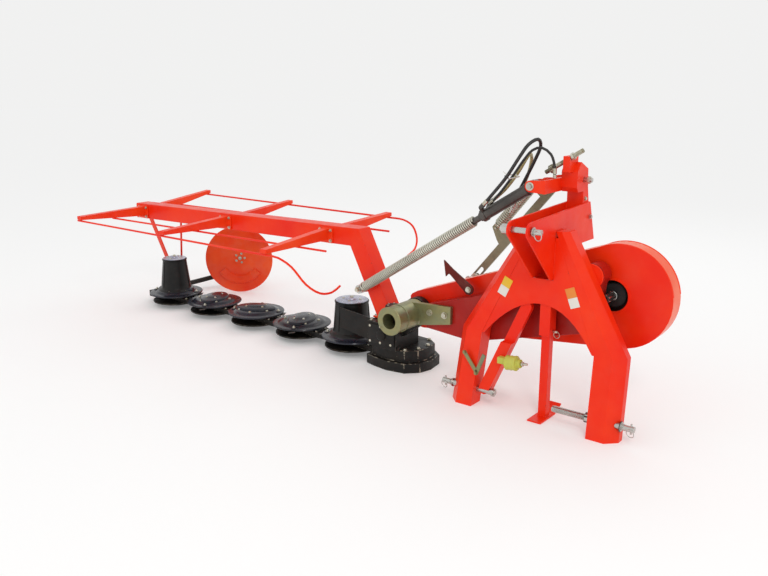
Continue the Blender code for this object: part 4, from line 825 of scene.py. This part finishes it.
def disc_fittings(index, centre):
    name, body, turn = f"disc_{index + 1}", f"cutting_disc_{index + 1}", disc_turn(index)
    bm = bmesh.new()
    for k in range(6):
        bolt(bm, polar(centre, 0.106, turn + math.tau * (k + 0.5) / 6, 0.0275), (0, 0, 1), 0.0085)
    for side in (0, math.pi):
        bolt(bm, polar(centre, 0.148, turn + side, 0.0178), (0, 0, 1), 0.0090, tail=0.004)
        for lean in (-0.5, 0.5):
            bolt(bm, polar(centre, 0.060, turn + side + lean, 0.0440), (0, 0, 1), 0.0075)
    piece_from(bm, name + "_bolts", BOLT_ZINC, body)
    bm = bmesh.new()
    for side in (0, math.pi):
        blade = bmesh.new()
        slab(blade, (0.124, -0.021, -0.0032), (0.1930, 0.021, 0.0006), 0.0012)
        for vert in blade.verts:
            lean = max(0.0, (vert.co.x - 0.150) / 0.043)
            vert.co.z += 0.004 * lean * (vert.co.y / 0.021)
        bmesh.ops.rotate(blade, verts=blade.verts, cent=(0, 0, 0),
                         matrix=Matrix.Rotation(turn + side, 3, "Z"))
        bmesh.ops.translate(blade, verts=blade.verts, vec=centre)
        pour(blade, bm)
    piece_from(bm, name + "_blades", DARK_STEEL, body)


def drum(index, centre, profile, top):
    name, body = f"disc_{index + 1}", f"cutting_disc_{index + 1}"
    bm = bmesh.new()
    spun(bm, profile, centre, steps=72)
    bar_turn = disc_turn(index)
    for k in range(3):
        angle = bar_turn + math.tau * k / 3
        low, high = polar(centre, profile[4][0] + 0.0005, angle, 0.052), polar(centre, profile[6][0] + 0.0005,
                                                                              angle, top - 0.018)
        bar(bm, low, high, 0.0035, 10, edge=0.0005)
    piece_from(bm, name + "_drum", DRUM_PAINT, body)
    bm = bmesh.new()
    cap = centre + Vector((0, 0, top))
    spun(bm, [(r * (profile[8][0] - 0.006) / 0.074, h) for r, h in CAP_PROFILE], cap, steps=56)
    piece_from(bm, name + "_cap", CAP_STEEL, body)
    bm = bmesh.new()
    for k in range(4):
        bolt(bm, polar(cap, 0.050, math.tau * k / 4 + 0.4, 0.0040), (0, 0, 1), 0.0075)
    bolt(bm, cap + Vector((0, 0, 0.0148)), (0, 0, 1), 0.010)
    piece_from(bm, name + "_cap_bolts", BOLT_ZINC, body)


for index in range(5):
    centre = DISC_CENTRE - Vector((DISC_PITCH * index, 0, 0))
    disc_plate(index, centre)
    disc_fittings(index, centre)
drum(0, DISC_CENTRE, DRUM_INNER, 0.2180)
drum(4, DISC_CENTRE - Vector((DISC_PITCH * 4, 0, 0)), DRUM_OUTER, 0.2450)
print("five discs made")

# %% [markdown]
# The swath disc is a dished plate that rolls along the ground and folds the outer edge of the cut crop
# inwards. Its edge is rolled for stiffness and a crescent is pressed into the dish. A sector of a hoop makes
# the crescent.

# %% Swath disc
SWATH_AXIS = Vector(JOINTS["swath_disc_spin"]["axis"]).normalized()
SWATH_HUB = joint_point("swath_disc_spin")
bm = bmesh.new()
spun(bm, [(0.0, 0.0035), (0.045, 0.0035), (0.048, 0.0020), (0.070, 0.0030), (0.110, 0.0120), (0.152, 0.0250),
          (0.200, 0.0370), (0.236, 0.0462), (0.2415, 0.0480), (0.2450, 0.0462), (0.2440, 0.0430),
          (0.236, 0.0415), (0.200, 0.0330), (0.152, 0.0205), (0.110, 0.0075), (0.070, -0.0020),
          (0.045, -0.0060), (0.043, -0.0480), (0.040, -0.0500), (0.0, -0.0500)], SWATH_HUB, SWATH_AXIS, 72)
piece_from(bm, "swath_plate", SWATH_RED, "swath_wheel", ("swath_disc",))
bm = bmesh.new()
crescent = [(0.122, 0.0130), (0.186, 0.0310), (0.182, 0.0440), (0.170, 0.0500), (0.142, 0.0410),
            (0.127, 0.0260)]
hoop(bm, crescent, SWATH_HUB, SWATH_AXIS, 30, 215.0, 110.0)
piece_from(bm, "swath_crescent", SWATH_RED, "swath_wheel")
bm = bmesh.new()
swath_turn = turn_to(SWATH_AXIS).to_3x3()
for k in range(5):
    angle = math.tau * k / 5
    spot = SWATH_HUB + swath_turn @ Vector((0.034 * math.cos(angle), 0.034 * math.sin(angle), 0.0034))
    bolt(bm, spot, SWATH_AXIS, 0.0075)
bar(bm, SWATH_HUB + SWATH_AXIS * 0.003, SWATH_HUB + SWATH_AXIS * 0.014, 0.016, 24, 0.012, 0.001)
piece_from(bm, "swath_bolts", BOLT_ZINC, "swath_wheel")
print("swath disc made")

# %% [markdown]
# Bolts, nuts and washers tell the eye how big a machine is. Each group below is one piece: the pivot arm's
# two large bolts and the lip round its bore, the flanges that clamp the cross members to the carrier tube,
# and the cap screws on the gearbox, shoe and cutter bar.

# %% Pivot arm, gearbox, shoe and bar
FOLD = hitch(-0.785, 0.0, 0.345)
FRONT = Vector((0, -1, 0))
bm = bmesh.new()
for x in (-0.655, -0.565):
    bolt(bm, hitch(x, 0.0628, 0.377), FRONT, 0.0150)
bolt(bm, hitch(-0.725, 0.0628, 0.315), FRONT, 0.0090)
piece_from(bm, "pivot_arm_bolts", BOLT_ZINC, "main_arm")
bm = bmesh.new()
hoop(bm, washer_section(0.0405, 0.0735, -0.006, 0.008, 0.002), FOLD + FRONT * 0.098, FRONT, 48)
hoop(bm, washer_section(0.0690, 0.0725, -0.003, 0.003, 0.001), FOLD + FRONT * 0.030, FRONT, 48)
piece_from(bm, "pivot_lip", ZINC, "main_arm")
bm = bmesh.new()
spun(bm, [(0.0, 0.0), (0.036, 0.0), (0.036, 0.006), (0.030, 0.010), (0.012, 0.012), (0.0, 0.012)],
     FOLD + Vector((0, -0.030, 0)), FRONT, 36)
piece_from(bm, "journal_cap", CASTING, "mowing_unit")

bm = bmesh.new()
UP = Vector((0, 0, 1))
for x, y in ((-1.050, 0.084), (-0.968, 0.082), (-0.890, 0.180), (-0.890, 0.254), (-1.050, 0.160)):
    bolt(bm, hitch(x, y, 0.2600), UP, 0.0085)
for k in range(6):
    angle = math.tau * k / 6
    bolt(bm, hitch(-0.918 + 0.030 * math.cos(angle), 0.105 + 0.030 * math.sin(angle), 0.3620), UP, 0.0055)
for x, z in ((-1.045, 0.150), (-0.975, 0.150), (-0.905, 0.150),
             (-1.045, 0.235), (-0.975, 0.240), (-0.890, 0.235)):
    bolt(bm, hitch(x, 0.0680, z), FRONT, 0.0080)
for x, y in ((-1.060, 0.115), (-0.850, 0.118), (-0.806, 0.180),
             (-0.800, 0.260), (-0.850, 0.345), (-0.960, 0.365)):
    bolt(bm, hitch(x, y, 0.1200), UP, 0.0105)
for index in range(5):
    x = -1.304 - 0.40 * index
    for side in (-1, 1):
        for step in (-0.046, 0.046):
            bolt(bm, hitch(x + 0.200 * 1 + step, 0.220 + side * 0.040, 0.0720), UP, 0.0068)
piece_from(bm, "unit_bolts", BOLT_ZINC, "mowing_unit")

bm = bmesh.new()
slab(bm, hitch(-1.055, 0.0620, 0.140), hitch(-0.882, 0.0685, 0.248), 0.003)
spun(bm, [(0.0, 0.0), (0.030, 0.0), (0.029, 0.007), (0.022, 0.012), (0.010, 0.013), (0.0, 0.013)],
     hitch(-0.968, 0.0622, 0.194), FRONT, 32)
for x in (-1.000, -0.940, -0.870):
    slab(bm, hitch(x - 0.005, 0.076, 0.118), hitch(x + 0.005, 0.100, 0.142), 0.002)
hoop(bm, washer_section(0.0395, 0.0460, 0.0, 0.010, 0.002), hitch(-0.918, 0.105, 0.2595), UP, 32)
hoop(bm, washer_section(0.0380, 0.0440, 0.0, 0.007, 0.002), hitch(-0.918, 0.105, 0.3500), UP, 32)
piece_from(bm, "gearbox_covers", CASTING, "mowing_unit")
print("drive castings dressed")

# %% [markdown]
# The cross members end in plates that are bolted through the carrier tube. They are drawn once, from the
# place where each one meets the tube.

# %% Flanges, end caps and welds on the carrier tube
bm, plates = bmesh.new(), bmesh.new()
for index in (1, 2, 3):
    for word, way in (("front", -1), ("rear", 1)):
        low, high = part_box(f"{word}_rib_{index}")
        x = (low.x + high.x) / 2
        face = high.y if way < 0 else low.y
        z = high.z - 0.038 if word == "front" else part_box(f"front_rib_{index}")[1].z - 0.038
        near, far = sorted((face, face + way * 0.0085))
        slab(plates, (x - 0.052, near, z - 0.043), (x + 0.052, far, z + 0.043), 0.0018)
        for dx in (-0.039, 0.039):
            for dz in (-0.029, 0.029):
                bolt(bm, (x + dx, face + way * 0.0085, z + dz), (0, way, 0), 0.0085, tail=0.004)
# The rib plates take the lighter copy of the red: painted sunlight.
piece_from(plates, "rib_plates", SUNLIT_RED, "mowing_unit")
tube_low, tube_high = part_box("carrier_tube")
lug_low, lug_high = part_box("lift_lug")
for dx in (0.024, 0.050):
    bolt(bm, (lug_low.x + 0.030 + dx, lug_low.y + 0.012, (lug_low.z + lug_high.z) / 2 + dx * 0.5),
         FRONT, 0.008)
bolt(bm, ROD_EYE + Vector((0, -0.0285, 0)), FRONT, 0.0130)
piece_from(bm, "rib_bolts", BOLT_ZINC, "mowing_unit")
bm = bmesh.new()
end_middle = Vector((tube_low.x, (tube_low.y + tube_high.y) / 2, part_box("front_rib_1")[1].z - 0.038))
slab(bm, end_middle + Vector((-0.004, -0.047, -0.049)), end_middle + Vector((0.002, 0.047, 0.047)), 0.0018)
foot = hitch(-1.000, 0.190, 0.262)
slab(bm, foot + Vector((-0.075, -0.062, -0.0015)), foot + Vector((0.075, 0.062, 0.0085)), 0.002)
for y in (-0.052, 0.052):
    weld(bm, foot + Vector((-0.052, y, 0.009)), foot + Vector((0.048, y, 0.009)), 0.0035, 5)
# The tube plates and their welds take the lighter copy of the red: painted sunlight.
piece_from(bm, "tube_plates", SUNLIT_RED, "mowing_unit")
bm = bmesh.new()
for x in (-0.062, 0.062):
    for y in (-0.050, 0.050):
        bolt(bm, foot + Vector((x, y, 0.0085)), UP, 0.0085)
piece_from(bm, "tube_foot_bolts", BOLT_ZINC, "mowing_unit")
print("carrier tube dressed")

# %% [markdown]
# On the headstock the lower link pins carry threads, nuts and linchpins with their rings. The top link pin
# has a grip. Weld beads run where the mast plates meet the front plate: beads are rows of small overlapping
# drops, which is how they are laid down.

# %% Hitch pins and mast fittings
LOWER_PIN = hitch(0.0, -0.018, 0.075)
RIGHT = Vector((1, 0, 0))
bm, dark = bmesh.new(), bmesh.new()
for node, way in (("left_hitch_pin", -1), ("right_hitch_pin", 1)):
    low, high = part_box(node)
    tip = high.x if way > 0 else low.x
    out = RIGHT * way
    end = Vector((tip, LOWER_PIN.y, LOWER_PIN.z))
    thread(bm, end - out * 0.060, end - out * 0.044, 0.0142, 0.0030)
    hoop(bm, ring_section(0.0185, 0.0019, 8), end - out * 0.014 + Vector((0, -0.012, -0.016)),
         (0.25, 1, 0.2), 28)
    bar(bm, end - out * 0.014 + Vector((0, 0, -0.024)), end - out * 0.014 + Vector((0, 0, 0.024)), 0.0042, 12,
        edge=0.0006)
    hoop(bm, washer_section(0.0140, 0.0210, -0.003, 0.003), end - out * 0.0585, out, 28)
bar(dark, (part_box("right_leg")[1].x + 0.0002, LOWER_PIN.y, LOWER_PIN.z),
    (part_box("right_leg")[1].x + 0.0040, LOWER_PIN.y, LOWER_PIN.z), 0.0240, 28, edge=0.0008)
pin_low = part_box("right_hitch_pin")[0]
collar_end = hitch(0.272, 0, 0).x - 0.0030
bar(dark, (collar_end - 0.024, LOWER_PIN.y, LOWER_PIN.z), (collar_end, LOWER_PIN.y, LOWER_PIN.z), 0.0255, 6)
thread(bm, (pin_low.x + 0.006, LOWER_PIN.y, LOWER_PIN.z), (collar_end - 0.026, LOWER_PIN.y, LOWER_PIN.z),
       0.0141, 0.0040)
piece_from(dark, "hitch_nuts", DARK_STEEL, "headstock")
top_low, top_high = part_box("top_link_pin")
top_middle = (top_low + top_high) / 2
hoop(bm, ring_section(0.0200, 0.0022, 8),
     Vector((top_high.x - 0.010, top_middle.y - 0.014, top_middle.z - 0.012)),
     (0.3, 1, 0.1), 28)
hoop(bm, washer_section(0.0126, 0.0200, -0.002, 0.002),
     Vector((top_high.x - 0.036, top_middle.y, top_middle.z)),
     RIGHT, 28)
for x in (-0.056, 0.056):
    bolt(bm, hitch(x, 0.330, 0.905), RIGHT * (1 if x > 0 else -1), 0.0090)
piece_from(bm, "hitch_fittings", STEEL, "headstock")
print("hitch pins dressed")

# %% [markdown]
# The head carries nuts and washers on its pins, the rod a thread, and the stand a ring to pull it by. They
# are turned rings and bolts, because each one is a body of revolution.

# %% Head, adjusting rod and stand fittings
bm = bmesh.new()
rod_low, rod_high = hitch(-0.105, 0.178, 1.112), hitch(0.070, 0.178, 1.220)
rod_run = (rod_high - rod_low).normalized()
thread(bm, rod_low + rod_run * 0.050, rod_low + rod_run * 0.088, 0.0101, 0.0036)
thread(bm, rod_low + rod_run * 0.150, rod_high - rod_run * 0.006, 0.0101, 0.0036)
bar(bm, rod_low + rod_run * 0.027, rod_low + rod_run * 0.045, 0.0195, 6)
bar(bm, rod_low + rod_run * 0.146, rod_low + rod_run * 0.158, 0.0170, 6)
for y in (0.048, 0.138, 0.210, 0.340):
    hoop(bm, washer_section(0.0112, 0.0195, -0.0016, 0.0016, 0.0006),
         hitch(-0.115, y - 0.0018, 1.060), FRONT, 28)
bolt(bm, hitch(-0.115, 0.0440, 1.060), FRONT, 0.0120, washer=False)
for z in (0.992, 0.935):
    bolt(bm, hitch(0.0400, 0.295, z), RIGHT, 0.0085)
cross_low, cross_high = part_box("head_cross_pin")
cross = (cross_low + cross_high) / 2
bar(bm, (cross_high.x - 0.020, cross.y, cross.z), (cross_high.x - 0.008, cross.y, cross.z), 0.0170, 6)
piece_from(bm, "head_fittings", BOLT_ZINC, "headstock")

bm = bmesh.new()
sleeve_low, sleeve_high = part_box("stand_sleeve")
bar(bm, (sleeve_high.x + 0.0002, sleeve_high.y - 0.028, sleeve_low.z + 0.020),
    (sleeve_high.x + 0.022, sleeve_high.y - 0.028, sleeve_low.z + 0.020), 0.0055, 14, edge=0.0008)
hoop(bm, ring_section(0.0150, 0.0016, 8),
     (sleeve_high.x + 0.019, sleeve_high.y - 0.028, sleeve_low.z + 0.006), (0.1, 1, 0), 24)
piece_from(bm, "stand_pin", BOLT_ZINC, "headstock")
bm = bmesh.new()
mast_front = hitch(0, -0.0105, 0)
for x in (-0.0510, 0.0510):
    weld(bm, (mast_front.x + x, mast_front.y, 0.690), (mast_front.x + x, mast_front.y, 0.830), 0.0034, 11)
for x in (-0.0395, 0.0395):
    weld(bm, (mast_front.x + x, hitch(0, 0.272, 0).y, 0.820), (mast_front.x + x, hitch(0, 0.272, 0).y, 0.960),
         0.0032, 13)
hoop(bm, ring_section(0.0505, 0.0036, 8), hitch(0.190, 0.0768, 0.690), FRONT, 48)
weld(bm, hitch(-0.010, 0.0005, 0.590), hitch(0.040, 0.0005, 0.590), 0.003, 17)
piece_from(bm, "headstock_welds", RED, "headstock")
print("mast dressed")

# %% [markdown]
# The painted legs carry two small blank plates, and a thin check strap hangs on the left one. A plate is a
# slab, leaned to lie along its leg and painted in two colours by using two halves.

# %% Blank plates and check strap
def leaned_slab(bm, centre, size, lean, edge=0.0006):
    """Slab of the given size about the centre, leaned in the plane of the front."""
    part = bmesh.new()
    half = Vector(size) / 2
    slab(part, -half, half, edge)
    bmesh.ops.rotate(part, verts=part.verts, cent=(0, 0, 0),
                     matrix=Matrix.Rotation(math.radians(lean), 3, "Y"))
    bmesh.ops.translate(part, verts=part.verts, vec=centre)
    pour(part, bm)


def blank_plate(name, x, z, lean, first, second):
    run = Vector((math.sin(math.radians(lean)), 0, math.cos(math.radians(lean))))
    centre = hitch(x, -0.0112, z)
    for half, finish, way in (("low", first, -1), ("high", second, 1)):
        bm = bmesh.new()
        leaned_slab(bm, centre + run * way * 0.0225, (0.046, 0.0016, 0.0450), lean)
        piece_from(bm, f"{name}_plate_{half}", finish, "headstock")


blank_plate("left", -0.186, 0.602, 24.0, WHITE_MARK, YELLOW_MARK)
blank_plate("right", 0.146, 0.602, -21.5, WHITE_MARK, ORANGE_MARK)
bm = bmesh.new()
leaned_slab(bm, hitch(-0.338, -0.0500, 0.216), (0.020, 0.0050, 0.118), -38.0, 0.0012)
leaned_slab(bm, hitch(-0.283, -0.0500, 0.214), (0.020, 0.0050, 0.112), 22.0, 0.0012)
bolt(bm, hitch(-0.304, -0.0526, 0.166), FRONT, 0.0085)
bolt(bm, hitch(-0.370, -0.0526, 0.258), FRONT, 0.0085)
piece_from(bm, "check_strap", ZINC, "headstock")
print("plates and strap made")

# %% [markdown]
# The belt guard is two pressings that meet in a seam, with a rolled lip round the large end and a few
# screws. Inside the round hole sit the splined shaft and its seal, which turn with the input; the seal is
# near black, as painted shade inside the hole.

# %% Guard, shaft and arm fittings
GUARD_MIDDLE = hitch(0.282, 0.0, 0.590)
guard_low, guard_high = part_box("belt_guard")
guard_radius = guard_high.x - GUARD_MIDDLE.x
bm = bmesh.new()
lip = [(guard_radius - 0.001, -0.0035), (guard_radius + 0.0015, -0.0030), (guard_radius + 0.0025, 0.0),
       (guard_radius + 0.0015, 0.0030), (guard_radius - 0.001, 0.0035)]
for y in (guard_low.y + 0.004, guard_high.y - 0.004):
    hoop(bm, lip, Vector((GUARD_MIDDLE.x, y, GUARD_MIDDLE.z)), (0, 1, 0), 72, -82.0, 164.0, up="X")
# The lip takes the lighter copy of the red: painted sunlight on the guard's rim.
piece_from(bm, "guard_lip", SUNLIT_RED, "main_arm")
bm = bmesh.new()
bolt(bm, hitch(-0.465, 0.1190, 0.515), FRONT, 0.0130)
piece_from(bm, "arm_bolts", BOLT_ZINC, "main_arm")
bm = bmesh.new()
hole = Vector((hitch(0.250, 0, 0).x, guard_low.y, 0.590))
hoop(bm, [(0.0715, -0.004), (0.0770, -0.004), (0.0785, 0.0), (0.0715, 0.0)], hole, (0, 1, 0), 56, up="X")
piece_from(bm, "guard_hole_rim", RED, "main_arm")
bm, seal = bmesh.new(), bmesh.new()
SHAFT = hitch(0.250, 0.0, 0.590)
for k in range(6):
    part = bmesh.new()
    slab(part, (0.0155, -0.0035, 0.0), (0.0196, 0.0035, 0.070), 0.0008)
    bmesh.ops.rotate(part, verts=part.verts, cent=(0, 0, 0), matrix=Matrix.Rotation(math.tau * k / 6, 3, "Z"))
    place = Matrix.Translation(SHAFT + Vector((0, 0.100, 0))) @ turn_to((0, 1, 0), "X")
    bmesh.ops.transform(part, matrix=place, verts=part.verts)
    pour(part, bm)
hoop(bm, washer_section(0.0170, 0.0210, 0.0, 0.006), SHAFT + Vector((0, 0.176, 0)), (0, 1, 0), 28, up="X")
piece_from(bm, "shaft_splines", STEEL, "input")
# The seal is painted near black as the shade inside the guard hole.
hoop(seal, [(0.0200, 0.0), (0.0520, 0.0), (0.0570, 0.005), (0.0570, 0.016), (0.0200, 0.016)],
     SHAFT + Vector((0, 0.192, 0)), (0, 1, 0), 48, up="X")
piece_from(seal, "shaft_seal", SHADOW, "input")
print("guard and shaft dressed")

# %% [markdown]
# The lift cylinder needs its gland nut, its end cap and the block that the hoses screw into. The relief bar
# gets the bolts at its two ends, and the straps the bolts at their feet.

# %% Cylinder, relief bar and straps
bm = bmesh.new()
gland = HEAD_PIN + LINK * 0.300
hoop(bm, washer_section(0.0265, 0.0310, -0.014, 0.008, 0.0015), gland, LINK, 32)
hoop(bm, washer_section(0.0265, 0.0300, 0.0, 0.012, 0.0015), HEAD_PIN + LINK * 0.034, LINK, 32)
hoop(bm, washer_section(0.0150, 0.0220, 0.0, 0.010, 0.0012), HEAD_PIN + LINK * 0.3108, LINK, 28)
piece_from(bm, "cylinder_rings", DARK_STEEL, "lift_cylinder")
bm = bmesh.new()
relief_foot = relief_head + relief_run * 0.700
bolt(bm, relief_foot + Vector((0, 0.0185, 0)), (0, 1, 0), 0.0125)
hoop(bm, washer_section(0.0092, 0.0190, 0.0, 0.003, 0.0006), relief_foot + Vector((0, -0.0100, 0)), FRONT, 28)
piece_from(bm, "relief_foot_fittings", BOLT_ZINC, "main_arm")
bm = bmesh.new()
for node in ("outer_strap", "inner_strap"):
    low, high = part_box(node)
    x = (low.x + high.x) / 2
    bolt(bm, (x if node == "outer_strap" else low.x + 0.007, high.y - 0.012, low.z + 0.022),
         (0, 0.45, 0.9), 0.0075)
piece_from(bm, "strap_bolts", BOLT_ZINC, "mowing_unit")
print("links dressed")

# %% [markdown]
# The studio is plain: a pale floor without a visible edge, an even bright surround and three large soft
# lamps. The floor gives back a little light of its own, so that far away it is as bright as the surround.

# %% Floor and light
floor_bm = bmesh.new()
bmesh.ops.create_grid(floor_bm, x_segments=1, y_segments=1, size=40.0)
floor_mesh = bpy.data.meshes.new("studio_floor")
floor_bm.to_mesh(floor_mesh)
floor_bm.free()
floor = bpy.data.objects.new("studio_floor", floor_mesh)
bpy.context.scene.collection.objects.link(floor)
floor_paint, nodes, links = new_finish("pale_floor")
shader = nodes["Principled BSDF"]
FLOOR_SHADE = 0.80
SURROUND = 0.88
shader.inputs["Base Color"].default_value = (FLOOR_SHADE, FLOOR_SHADE, FLOOR_SHADE, 1.0)
shader.inputs["Roughness"].default_value = 0.9
shader.inputs["Specular IOR Level"].default_value = 0.0
shader.inputs["Emission Color"].default_value = (1.0, 1.0, 1.0, 1.0)
shader.inputs["Emission Strength"].default_value = (1.0 - FLOOR_SHADE) * SURROUND
floor_mesh.materials.append(floor_paint)

world = bpy.data.worlds.new("studio_world")
world.use_nodes = True
world.node_tree.nodes["Background"].inputs["Color"].default_value = (1.0, 1.0, 0.995, 1.0)
world.node_tree.nodes["Background"].inputs["Strength"].default_value = SURROUND
bpy.context.scene.view_settings.view_transform = "Standard"
bpy.context.scene.world = world


def soft_light(name, place, aim, size, power, colour=(1.0, 1.0, 1.0)):
    data = bpy.data.lights.new(name, "AREA")
    data.shape = "DISK"
    data.size = size
    data.energy = power
    data.color = colour
    light = bpy.data.objects.new(name, data)
    light.location = place
    light.rotation_mode = "QUATERNION"
    light.rotation_quaternion = (Vector(aim) - Vector(place)).to_track_quat("-Z", "Y")
    bpy.context.scene.collection.objects.link(light)


soft_light("key_light", hitch(3.0, -3.5, 4.5), hitch(-0.6, 0.0, 0.5), 1.2, 60, (1.0, 0.98, 0.95))
soft_light("fill_light", hitch(-4.0, -4.0, 3.0), hitch(-1.0, 0.0, 0.4), 3.0, 10, (0.96, 0.98, 1.0))
soft_light("rim_light", hitch(-1.0, 4.0, 4.0), hitch(-1.0, 0.0, 0.4), 2.5, 16)
print("stage ready")

# %% [markdown]
# The view layer is brought up to date.

# %% Update the view layer
bpy.context.view_layer.update()
